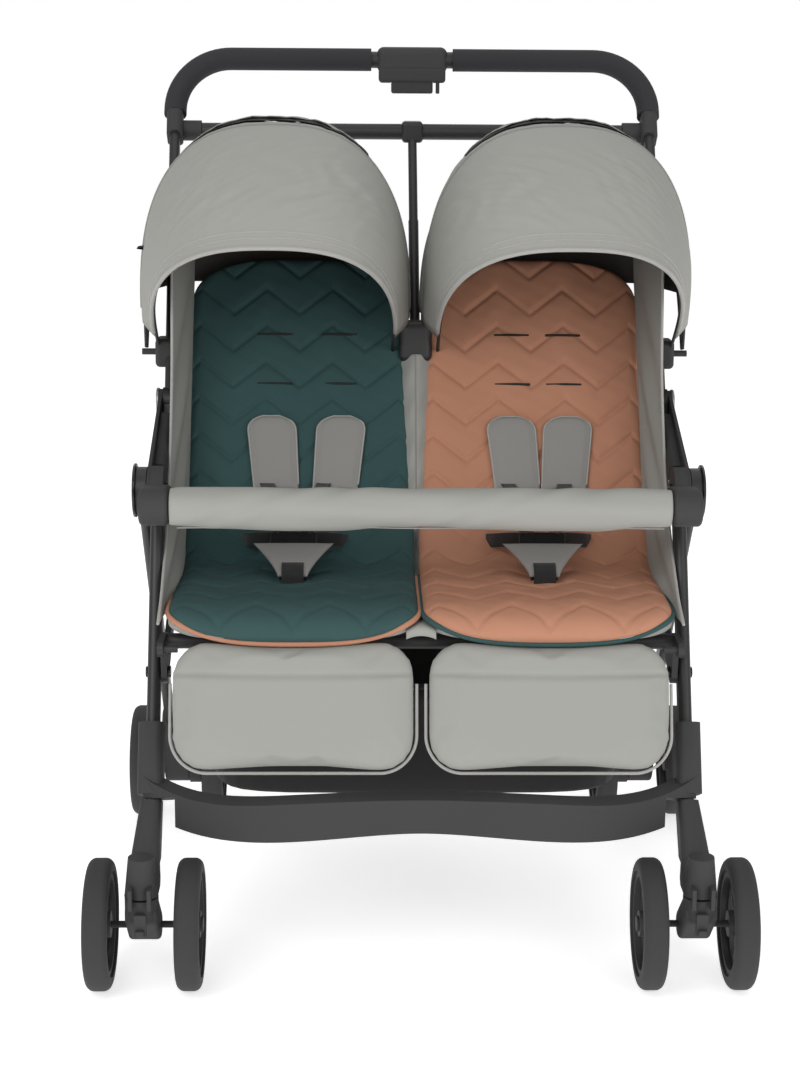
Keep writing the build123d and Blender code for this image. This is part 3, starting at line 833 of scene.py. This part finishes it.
@dataclass
class Seat(Sided):
    """One seat: back shell, quilted liner in two parts, leg rest and side wing."""

    colour: Finish
    slot: str
    edging: Finish
    edging_slot: str

    def across(self, inner: float, outer: float) -> tuple[float, float]:
        """The low and high X of a stretch.

        Args:
            inner: its near end's distance from the stroller's middle.
            outer: its far end's.

        Returns:
            The low X and the high X.
        """
        return tuple(sorted((self.sign * inner, self.sign * outer)))

    def back(self) -> None:
        """The grey back shell and the quilted liner on it."""
        Pad(f"back_shell_{self.side}", f"backrest_{self.side}",
            [back_point(t, -0.013) for t in (0.040, 0.15, 0.28, 0.396)], self.across(0.024, 0.289),
            0.022, GREY, arch=0.08, stands_for=(f"backrest_{self.side}",)).build()
        Pad(f"back_liner_{self.side}", f"backrest_{self.side}",
            [back_point(0.012, 0.006), back_point(0.060, 0.004), back_point(0.12, 0.003),
             back_point(0.25, 0.001), back_point(0.397, 0.004)],
            self.across(0.008, 0.284), 0.016, self.colour, Quilting.CHEVRON, arch=0.075,
            slot=self.slot, rows=320, columns=220).build()

    def base(self) -> None:
        """The seat's quilted liner, rolled over the front edge, on its grey base."""
        Pad(f"seat_base_{self.side}", "seat_frame",
            [(-0.266, 0.394), (-0.250, 0.405), (-0.16, 0.408), (-0.044, 0.412)],
            self.across(0.006, 0.289), 0.022, GREY, nose=0.05, stands_for=(f"seat_{self.side}",)).build()
        liner = Pad(f"seat_liner_{self.side}", "seat_frame",
                    [(-0.268, 0.394), (-0.256, 0.414), (-0.21, 0.421), (-0.13, 0.4195), (-0.075, 0.4235),
                     (-0.047, 0.437), back_point(0.050, 0.012)],
                    self.across(0.003, 0.288), 0.017, self.colour, Quilting.CHEVRON, nose=0.062,
                    corner=0.02, slot=self.slot, rows=300, columns=220, groove=0.0018)
        liner.build()
        edge = tube(f"liner_edge_{self.side}", liner.edge_line(0.20, 0.0020, 0.0012), 0.0034,
                    self.edging)
        attach(edge, "seat_frame")

    def leg_rest(self) -> None:
        """The padded leg rest with its seam and piped hem."""
        pad = Pad(f"leg_pad_{self.side}", f"leg_rest_{self.side}",
                  [leg_point(t, 0.002) for t in (-0.010, 0.05, 0.10, 0.139)][::-1],
                  self.across(0.006, 0.283), 0.024, GREY, Quilting.SEAM, corner=0.042,
                  stands_for=(f"leg_rest_{self.side}",), swell=True, fill=0.6)
        pad.build()
        piping = tube(f"leg_hem_{self.side}", pad.edge_line(0.10, 0.0, 0.0008), 0.0018, LIGHT_GREY)
        attach(piping, f"leg_rest_{self.side}")

    def wing(self) -> None:
        """The side guard of grey cloth between seat and back, slack between its edges."""
        rows, columns = 70, 40
        free = smooth_line([(-0.256, 0.412), (-0.19, 0.440), (-0.09, 0.520), (-0.015, 0.640),
                            (0.012, 0.760), (0.030, 0.850)], rows)
        rear = smooth_line([(-0.050, 0.415), (0.03, 0.545), (0.11, 0.685), (0.165, 0.780),
                            (0.150, 0.862)], rows)
        t = np.linspace(0, 1, columns)[None, :, None]
        flat = rear[:, None, :] * (1 - t) + free[:, None, :] * t
        s = np.linspace(0, 1, rows)[:, None]
        slack = 0.003 * (1 + np.sin(s * 23 + t[..., 0] * 4)) * np.sin(math.pi * t[..., 0])
        x = self.sign * (0.2815 + 0.0165 * t[..., 0] ** 0.7 - slack)
        verts = np.concatenate([np.broadcast_to(x[..., None], (rows, columns, 1)), flat], -1)
        sheet, area = new_sheet(f"side_wing_{self.side}", verts, GREY, "handle_frame",
                                -1.0)
        piping = tube(f"side_piping_{self.side}", np.column_stack([x[:, -1], free]), 0.0018,
                      LIGHT_GREY)
        attach(piping, "handle_frame")
        for piece in (sheet, piping):
            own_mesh(piece)

    def build(self) -> None:
        """Build every part of the seat."""
        self.back()
        self.base()
        self.leg_rest()
        self.wing()
        LOG.info("seat %s done", self.side)


# ---- canopies ----
@dataclass
class Canopy(Sided):
    """One canopy: a continuous sheet over three bows, split where its joints turn."""

    middle: float = 0.1755
    half_width: float = 0.1672
    radius: float = 0.2895
    wall_start: float = 0.046
    power: float = 2.6
    front: float = 33.0
    brim_taper: float = 0.11
    seam: float = 80.0
    rear: float = 127.0

    def skin(self, angle: np.ndarray, turn: np.ndarray, inset: float = 0.0) -> np.ndarray:
        """Points of the canopy's surface.

        Args:
            angle: degrees above the forward level, about the canopy's pivot.
            turn: place along the arch, 0 at the outer wall and pi at the inner one.
            inset: how far inside the surface.

        Returns:
            An array with the points' coordinates last.
        """
        c = np.cos(turn)
        across = np.sign(c) * np.abs(c) ** (2 / self.power)
        up = np.abs(np.sin(turn)) ** (2 / self.power)
        slack = np.sin(math.pi * np.clip((angle - self.front) / (self.seam - self.front), 0, 1))
        slack = slack + np.sin(math.pi * np.clip((angle - self.seam) / (self.rear - self.seam), 0, 1))
        inner = 1 + 0.9 * np.clip(-across, 0, 1)
        crease = wrinkle(across * 0.8 + angle / 90, angle / 60, self.sign) * 0.0019 * slack * inner
        pull = 0.006 * slack * up + inset - crease
        r = self.wall_start + (self.radius - self.wall_start - pull) * up
        taper = 1 - self.brim_taper * np.clip(1 - (angle - self.front) / 30, 0, 1) ** 1.5
        x = self.sign * (self.middle + (self.half_width * taper - inset - 0.002 * slack) * across)
        a = np.radians(angle)
        y = CANOPY_PIVOT[0] - r * np.cos(a)
        z = CANOPY_PIVOT[1] + r * np.sin(a)
        return np.stack([x + 0 * r, y, z], -1)

    def sheet(self, name: str, low: float, high: float, rows: int) -> bpy.types.Object:
        """One stretch of the cloth.

        Args:
            name: the piece's name.
            low: the angle where it starts.
            high: the angle where it ends.
            rows: how many rows of points.

        Returns:
            The sheet, with its thickness.
        """
        columns = 120
        angle = np.linspace(low, high, rows)[:, None] + np.zeros((1, columns))
        turn = np.zeros((rows, 1)) + np.linspace(0.0, math.pi, columns)[None, :]
        points = self.skin(angle, turn)
        obj = new_piece(name, points.reshape(-1, 3), grid_faces(rows, columns), GREY)
        add_thickness(obj, 0.0013, 0.0, LINING)
        return obj

    def arch_tube(self, name: str, angle: float, radius: float, finish: Finish, body: str) -> None:
        """A tube that follows the arch, half sunk in the cloth.

        Args:
            name: the piece's name.
            angle: the arch's angle.
            radius: the tube's radius.
            finish: its finish.
            body: the body that it rides on.
        """
        turn = np.linspace(0.02, math.pi - 0.02, 90)
        line = self.skin(np.full(90, angle), turn, -0.0006)
        attach(tube(name, line, radius, finish), body)

    def bow(self, name: str, angle: float, body: str) -> None:
        """The bow inside the cloth, from the outer pivot over the arch to the inner one.

        Args:
            name: the piece's name.
            angle: the bow's angle.
            body: the body that it rides on.
        """
        turn = np.linspace(0.0, math.pi, 80)
        line = self.skin(np.full(80, angle), turn, 0.0035)
        a = math.radians(angle)
        start, end = line[0].copy(), line[-1].copy()
        for point in (start, end):
            point[1] = CANOPY_PIVOT[0] - 0.006 * math.cos(a)
            point[2] = CANOPY_PIVOT[1] + 0.006 * math.sin(a)
        attach(tube(name, np.vstack([start, line, end]), 0.0022, PLASTIC), body)

    def build(self) -> None:
        """Build the cloth, bows, brim, piping, vent flap and tag."""
        mid, front = f"canopy_mid_{self.side}", f"canopy_front_{self.side}"
        rear_sheet = self.sheet(f"canopy_rear_cloth_{self.side}", self.seam, self.rear, 70)
        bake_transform(rear_sheet)
        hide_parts("canopy_rears", mid)
        front_sheet = self.sheet(f"canopy_front_cloth_{self.side}", self.front, self.seam, 80)
        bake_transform(front_sheet)
        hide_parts(front)
        self.bow(f"canopy_front_bow_{self.side}", self.front + 2.5, front)
        self.bow(f"canopy_middle_bow_{self.side}", self.seam, mid)
        self.bow(f"canopy_rear_bow_{self.side}", self.rear - 2, "handle_frame")
        for name, angle, radius, body, finish in (
                ("brim_piping", self.front, 0.0026, front, LIGHT_GREY),
                ("brim_stitch", self.front + 2.6, 0.0008, front, LIGHT_GREY),
                ("brim_stitch_upper", self.front + 4.4, 0.0008, front, LIGHT_GREY),
                ("middle_piping", self.seam, 0.0016, mid, PAD_GREY),
                ("rear_piping", self.rear, 0.0020, "handle_frame", PAD_GREY)):
            self.arch_tube(f"canopy_{name}_{self.side}", angle, radius, finish, body)
        self.vent()
        self.curtain()
        if self.side == "left":
            self.tag()
        LOG.info("canopy %s done", self.side)

    def vent(self) -> None:
        """The small flap on top, with the dark mesh window that it covers."""
        rows, columns = 16, 50
        for name, finish, lift, low, high in (("vent_window", BLACK_CLOTH, 0.0015, 86.0, 96.0),
                                              ("vent_flap", GREY, 0.006, 92.0, 101.0)):
            angle = np.linspace(low, high, rows)[:, None] + np.zeros((1, columns))
            turn = np.zeros((rows, 1)) + np.linspace(0.9, math.pi - 0.9, columns)[None, :]
            rise = lift * np.sin(np.linspace(0, math.pi, columns))[None, :] + 0.0014
            points = self.skin(angle, turn)
            centre = np.array((self.sign * self.middle, *CANOPY_PIVOT))
            out = points - centre
            out[..., 0] *= 0.3
            out /= np.linalg.norm(out, axis=-1)[..., None]
            points = points + out * rise[..., None]
            new_sheet(f"canopy_{name}_{self.side}", points, finish, "handle_frame")

    def curtain(self) -> None:
        """The cloth behind the head, from the canopy's rear edge down to the backrest."""
        rows, columns = 50, 90
        turn = np.linspace(0.10, math.pi - 0.10, columns)
        top = self.skin(np.full(columns, self.rear), turn, 0.002)
        a = np.cos(turn)
        low = np.column_stack([self.sign * (0.157 + 0.128 * np.sign(a) * np.abs(a) ** 0.9),
                               np.full(columns, 0.178), np.full(columns, 0.745)])
        t = np.linspace(0, 1, rows)[:, None, None]
        points = top[None] * (1 - t) + low[None] * t
        sag = np.sin(math.pi * t[..., 0]) * (0.010 + 0.004 * np.sin(7 * a)[None, :])
        points[..., 1] += sag
        obj, area = new_sheet(f"canopy_curtain_{self.side}", points, LINING, "handle_frame")

    def tag(self) -> None:
        """The small blank loop of black tape in the outer wall's seam."""
        centre = self.skin(np.array([70.0]), np.array([0.32]))[0]
        verts = []
        for y in (-0.009, 0.009):
            for k in range(9):
                a = math.pi * k / 8
                verts.append(centre + np.array((self.sign * 0.008 * math.sin(a), y,
                                                0.0012 * math.cos(a))))
        obj = new_piece("canopy_tag", np.array(verts), grid_faces(2, 9), BLACK_CLOTH)
        add_thickness(obj, 0.0008, 0.0)
        attach(obj, f"canopy_front_{self.side}")


# ---- bumper, basket, harness, centre cloth ----
@dataclass
class BumperCover:
    """The padded cloth sleeve on the bumper bar, drooping a little between the seats' middles."""

    radius: float = 0.0222

    def build(self) -> None:
        """Build the sleeve with its lower seam and end rims."""
        low, high = (np.array(v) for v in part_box("bumper_cover"))
        centre = (low + high) / 2
        count, around = 220, 48
        x = np.linspace(low[0] + 0.0005, high[0] - 0.0005, count)
        verts = []
        for value in x:
            end = min(value - low[0], high[0] - value)
            rim = self.radius * (0.93 + 0.07 * math.sqrt(min(end / 0.012, 1)))
            for k in range(around):
                a = 2 * math.pi * k / around
                wave = math.sin(value * 63 + 2.4 * math.sin(value * 23 + 1.5 * a))
                fold = 0.0010 * wave * math.sin(a * 2 + 1.3)
                sag = 0.55 + 0.45 * math.cos((abs(value) - 0.15) * 20)
                droop = 0.006 * max(0.0, -math.sin(a)) ** 4 * sag
                r = rim + fold + droop * min(end / 0.05, 1)
                verts.append((value, centre[1] + r * math.cos(a), centre[2] + r * math.sin(a)))
        faces = grid_faces(count, around, wrap=True)
        faces += [tuple(range(around))[::-1], tuple(range(len(verts) - around, len(verts)))]
        cover = new_piece("bumper_sleeve", np.array(verts), faces, GREY)
        attach(cover, "bumper_bar")
        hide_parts("bumper_cover")
        line = np.column_stack([x[3:-3], np.full(count - 6, centre[1] - 0.011),
                                centre[2] - 0.0207 - 0.003 * np.cos(x[3:-3] * 22) * 0.4])
        seam = tube("bumper_sleeve_seam", line, 0.0009, PAD_GREY, 6)
        attach(seam, "bumper_bar")
        LOG.info("bumper sleeve done")


@dataclass
class Basket:
    """The shopping basket: an open cloth tub that sags, with a bound rim."""

    def build(self) -> None:
        """Build the tub from a rounded outline lofted down to the floor."""
        low, high = (np.array(v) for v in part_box("basket"))
        centre, half = (low + high) / 2, (high - low) / 2
        rows, around = 46, 160
        a = np.linspace(0, 2 * math.pi, around, endpoint=False)
        c, s = np.cos(a), np.sin(a)
        outline = np.column_stack([np.sign(c) * np.abs(c) ** 0.28, np.sign(s) * np.abs(s) ** 0.32])
        verts = []
        depth = high[2] - low[2]
        wall = [(1.0, high[2]), (0.975, low[2] + 0.62 * depth), (0.965, low[2] + 0.30 * depth),
                (0.955, low[2] + 0.08 * depth), (0.93, low[2] + 0.004)]
        bottom = [(0.84, low[2] + 0.001), (0.5, low[2] + 0.0015), (0.02, low[2] + 0.002)]
        profile = smooth_line(wall + bottom, rows)
        for i, (grow, z) in enumerate(profile):
            ripple = 0.004 * np.sin(a * 14) * math.sin(math.pi * min(i / (0.5 * rows), 1))
            verts.append(np.column_stack([
                centre[0] + (half[0] * grow - 0.001) * outline[:, 0] * (1 - np.abs(ripple)),
                centre[1] + (half[1] * grow - 0.001) * outline[:, 1] * (1 - np.abs(ripple)),
                np.full(around, z)]))
        tub = new_piece("basket_cloth", np.vstack(verts), grid_faces(rows, around, wrap=True), BLACK_CLOTH)
        add_thickness(tub, 0.0014, 0.0)
        attach(tub, "root")
        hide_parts("basket")
        rim = np.vstack([verts[0], verts[0][:1]])
        binding = tube("basket_binding", rim, 0.0035, BLACK_CLOTH)
        attach(binding, "root")
        for obj in (tub, binding):
            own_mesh(obj)
        LOG.info("basket done")


@dataclass
class Harness(Sided):
    """Five-point harness of one seat: shoulder pads, webbing, hip belts and crotch pad."""

    pads: tuple[float, float]
    middle: float = 0.149

    def strap(self, name: str, points: list[tuple[float, float, float]], width: float, body: str,
              across: tuple[float, float, float] = (1.0, 0.0, 0.0),
              thickness: float = 0.0016) -> bpy.types.Object:
        """A flat strap of webbing.

        Args:
            name: the strap's name.
            points: the points that its middle passes.
            width: its width in metres.
            body: the body that it rides on.
            across: the direction of its width.
            thickness: its thickness in metres.

        Returns:
            The new object.
        """
        line = smooth_line(points, 40)
        side = np.array(across) / np.linalg.norm(across)
        verts = np.concatenate([[p + side * width * k / 8 for k in range(-4, 5)] for p in line])
        obj = new_piece(name, verts, grid_faces(40, 9), WEBBING)
        add_thickness(obj, thickness, 0.0)
        attach(obj, body)
        return obj

    def shoulder(self) -> None:
        """The two shoulder pads, their webbing and the bound slits that it can enter."""
        for i, x in enumerate(self.pads):
            lean = (-0.008, 0.008)[i]
            rows, columns = 40, 24
            t = np.linspace(0, 1, rows)
            verts = {1: [], -1: []}
            for value in t:
                up = 0.084 + 0.097 * value
                share = (1 - 0.10 * (1 - value)) * (1 - np.clip((value - 0.76) / 0.24, 0, 1) ** 3.0) ** 0.5
                share = max(share, 0.35)
                for k in range(columns):
                    a = math.sin((k / (columns - 1) - 0.5) * math.pi)
                    edge = math.sqrt(max(0.0, 1 - abs(a) ** 5)) * math.sqrt(
                        max(0.0, 1 - abs(2 * value - 1) ** 9))
                    rim = 1 - 0.25 * math.exp(-((abs(a) - 0.84) / 0.05) ** 2)
                    for face in (1, -1):
                        out = 0.0165 + face * 0.0055 * edge * (rim if face > 0 else 1)
                        y, z = back_point(up, out)
                        verts[face].append((x + lean * (value - 0.5) + 0.0305 * share * a, y, z))
            front, back = (np.array(verts[face]).reshape(rows, columns, 3) for face in (1, -1))
            pad = closed_pad(f"shoulder_pad_{self.side}_{i + 1}", front, back, PAD_GREY)
            attach(pad, f"backrest_{self.side}")
            if i == 0:
                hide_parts(f"harness_{self.side}")
            self.binding(f"shoulder_binding_{self.side}_{i + 1}", front)
            points = [(x, *back_point(up, out)) for up, out in
                      ((0.150, 0.0150), (0.165, 0.0145), (0.174, 0.010), (0.178, 0.004))]
            self.strap(f"shoulder_web_{self.side}_{i + 1}", points, 0.022, f"backrest_{self.side}")
            for row, up in enumerate((0.226, 0.292)):
                points = [(x - 0.022, *back_point(up, 0.0112)), (x, *back_point(up, 0.0122)),
                          (x + 0.022, *back_point(up, 0.0112))]
                slit = tube(f"harness_slit_{self.side}_{i + 1}_{row + 1}", smooth_line(points, 12),
                            0.0016, BLACK_CLOTH, 6)
                attach(slit, f"backrest_{self.side}")

    def binding(self, name: str, grid: np.ndarray) -> None:
        """The bound edge that runs round a shoulder pad.

        Args:
            name: the binding's name.
            grid: the pad's front points, by row and column.
        """
        loop = np.vstack([grid[1:, 1], grid[-1, 2:-1], grid[1:, -2][::-1]])
        edge = tube(name, smooth_line(loop[::3], 120), 0.0013, LIGHT_GREY, 6)
        attach(edge, f"backrest_{self.side}")

    def lower(self) -> None:
        """Hip belts to the buckle and the padded crotch piece."""
        x = self.sign * self.middle
        body = f"buckle_{self.side}"
        for i, hand in enumerate((-1, 1)):
            points = [(x + hand * 0.018, -0.084, 0.468), (x + hand * 0.036, -0.074, 0.466),
                      (x + hand * 0.054, -0.058, 0.461), (x + hand * 0.064, -0.040, 0.456)]
            self.strap(f"hip_belt_{self.side}_{i + 1}", points, 0.020, body, (0.0, -0.35, 0.94))
            points = [(x + hand * 0.018, -0.080, 0.477), (x + hand * 0.024, -0.055, 0.505),
                      (x + hand * 0.036, *back_point(0.095, 0.0165))]
            strap = self.strap(f"shoulder_tail_{self.side}_{i + 1}", points, 0.018,
                               "handle_frame", thickness=0.0014)
            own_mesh(strap)
        c, s = math.cos(math.radians(35)), math.sin(math.radians(35))
        rows, columns = 30, 26
        verts = {1: [], -1: []}
        for i in range(rows):
            t = i / (rows - 1)
            along = -0.006 + 0.052 * t
            half = 0.0175 + 0.031 * t ** 1.35
            for k in range(columns):
                a = math.sin((k / (columns - 1) - 0.5) * math.pi)
                edge = math.sqrt(max(0.0, 1 - abs(a) ** 5)) * math.sqrt(
                    max(0.0, 1 - abs(2 * t - 1) ** 7))
                for face in (1, -1):
                    out = 0.0088 + face * 0.004 * edge
                    y = -0.134 + along * c - out * s
                    z = 0.434 + along * s + out * c
                    verts[face].append((x + half * a, y, z))
        front, back = (np.array(verts[face]).reshape(rows, columns, 3) for face in (1, -1))
        pad = closed_pad(f"crotch_pad_{self.side}", front, back, PAD_GREY)
        attach(pad, body)
        tab = [(x, -0.134 + t * c - out * s, 0.434 + t * s + out * c)
               for t, out in ((-0.013, 0.005), (-0.006, 0.0135), (0.005, 0.0142), (0.012, 0.0125))]
        self.strap(f"crotch_web_{self.side}", tab, 0.026, body)

    def build(self) -> None:
        """Build the whole harness."""
        self.shoulder()
        self.lower()
        LOG.info("harness %s done", self.side)


@dataclass
class CentreCloth:
    """The grey cloth between the two seats, gathered to a seam."""

    def build(self) -> None:
        """Build the tent-shaped strip from the centre bracket down to the crease."""
        rows, columns = 90, 25
        t = np.linspace(0, 1, rows)[:, None]
        a = np.linspace(-1, 1, columns)[None, :]
        half = 0.015 + 0.010 * (1 - t) ** 1.3
        ridge = 0.026 * (1 - 0.6 * t) * (1 - np.abs(a) ** 1.6)
        fold = 0.0012 * np.sin(t * 31 + 4 * a) * (1 - a ** 2)
        up = 0.262 - 0.254 * t
        out = -0.004 + ridge + fold
        c, s = math.cos(BACK_LEAN), math.sin(BACK_LEAN)
        x = half * a + 0 * up
        y = CREASE[0] + up * c - out * s
        z = CREASE[1] + up * s + out * c
        obj, area = new_sheet("centre_cloth", np.stack([x, y, z], -1), GREY, "handle_frame")
        line = np.stack([x[:, 12], y[:, 12], z[:, 12]], -1)
        line[:, 1] -= 0.0012 * s
        seam = tube("centre_cloth_seam", line, 0.0008, PAD_GREY, 6)
        attach(seam, "handle_frame")
        y, z = smooth_line([(-0.006, 0.470), (-0.036, 0.430), (-0.060, 0.417), (-0.16, 0.412),
                            (-0.246, 0.409), (-0.257, 0.398)], rows).T
        x = np.linspace(-0.017, 0.017, columns)[None, :] + np.zeros((rows, 1))
        dip = 0.004 * (x / 0.017) ** 2 - 0.0008 * np.sin(np.linspace(0, 40, rows))[:, None]
        points = np.stack([x, y[:, None] + 0 * x, z[:, None] - dip], -1)
        strip, area = new_sheet("centre_strip", points, GREY, "seat_frame")
        LOG.info("centre cloth done")


# ---- studio ----
@dataclass
class Studio:
    """Floor, soft lights and the camera."""

    camera_place: tuple[float, float, float] = (-0.075, -2.623, 1.104)
    pitch: float = 13.9
    yaw: float = 1.21
    roll: float = 0.42
    lens: float = 73.4
    floor_glow: float = 0.62
    world_light: float = 0.44

    def build(self) -> None:
        """Build the studio."""
        self.floor()
        self.world()
        self.lights()
        self.camera()
        LOG.info("studio done")

    def floor(self) -> None:
        """The pale floor."""
        mesh = bpy.data.meshes.new("floor")
        mesh.from_pydata([(-9, -6, 0), (9, -6, 0), (9, 12, 0), (-9, 12, 0)], [], [(0, 1, 2, 3)])
        floor = bpy.data.objects.new("floor", mesh)
        bpy.context.scene.collection.objects.link(floor)
        pale = bpy.data.materials.new("pale_floor")
        pale.use_nodes = True
        shader = pale.node_tree.nodes["Principled BSDF"]
        fill_inputs(shader, {"Base Color": (0.86, 0.86, 0.86, 1), "Roughness": 0.9,
                             "Emission Color": (1, 1, 1, 1), "Emission Strength": self.floor_glow})
        mesh.materials.append(pale)

    def world(self) -> None:
        """The white surroundings, dimmer as a light than they look."""
        world = bpy.data.worlds.new("studio")
        bpy.context.scene.world = world
        world.use_nodes = True
        nodes, links = world.node_tree.nodes, world.node_tree.links
        nodes["Background"].inputs["Color"].default_value = (1, 1, 1, 1)
        seen = nodes.new("ShaderNodeMapRange")
        fill_inputs(seen, {"To Min": self.world_light, "To Max": 1.0})
        links.new(nodes.new("ShaderNodeLightPath").outputs["Is Camera Ray"], seen.inputs["Value"])
        links.new(seen.outputs["Result"], nodes["Background"].inputs["Strength"])

    def lights(self) -> None:
        """Four soft lamps turned to the stroller's middle."""
        middle = Vector((0, 0, 0.5))
        for name, place, size, power in (
                ("key", (-1.5, -2.6, 2.3), 1.8, 44), ("fill", (1.9, -2.6, 1.3), 2.0, 26),
                ("top", (0.0, 0.6, 3.2), 2.4, 16), ("back", (0.0, 2.8, 2.2), 2.0, 14)):
            data = bpy.data.lights.new(name, "AREA")
            data.size, data.energy = size, power
            lamp = bpy.data.objects.new(name, data)
            lamp.location = place
            lamp.rotation_euler = (middle - Vector(place)).to_track_quat("-Z", "Y").to_euler()
            bpy.context.scene.collection.objects.link(lamp)

    def camera(self) -> None:
        """The camera, in front of the stroller and a little above it."""
        data = bpy.data.cameras.new("camera")
        data.lens, data.sensor_width = self.lens, 36.0
        camera = bpy.data.objects.new("camera", data)
        camera.location = self.camera_place
        aim = Euler((math.radians(90 - self.pitch), 0, math.radians(-self.yaw))).to_matrix()
        roll = Matrix.Rotation(math.radians(self.roll), 3, "Z")
        camera.rotation_euler = (aim @ roll).to_euler()
        bpy.context.scene.collection.objects.link(camera)
        bpy.context.scene.camera = camera
        bpy.context.scene.view_settings.view_transform = "Standard"


@dataclass
class HardParts:
    """Finishes on the frame's own nodes."""

    def build(self, frame: dict) -> None:
        """Give each CAD node the finish of its slot.
        """
        slots = {row["node"]: row["material_slot"] for row in frame["record"]["subparts"]}
        for name, obj in frame["nodes"].items():
            finish = GLOSS if name == "pivot_pins" else NODE_FINISH[slots[name]]
            obj.data.materials.clear()
            obj.data.materials.append(finish.material())
        LOG.info("%d frame nodes dressed", len(slots))


def main(frame: dict) -> None:
    """Build every sub-assembly in order.
    """
    logging.basicConfig(level=logging.INFO, format="%(name)s: %(message)s")
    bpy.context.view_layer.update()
    Studio().build()
    HardParts().build(frame)
    Seat("left", TEAL, "teal_fabric", TERRACOTTA, "terracotta_fabric").build()
    Seat("right", TERRACOTTA, "terracotta_fabric", TEAL, "teal_fabric").build()
    for side in SIDES:
        Canopy(side).build()
        Harness(side, (-0.1765, -0.096) if side == "left" else (0.122, 0.187)).build()
    BumperCover().build()
    Basket().build()
    CentreCloth().build()


if __name__ == "__main__":
    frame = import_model()
    main(frame)
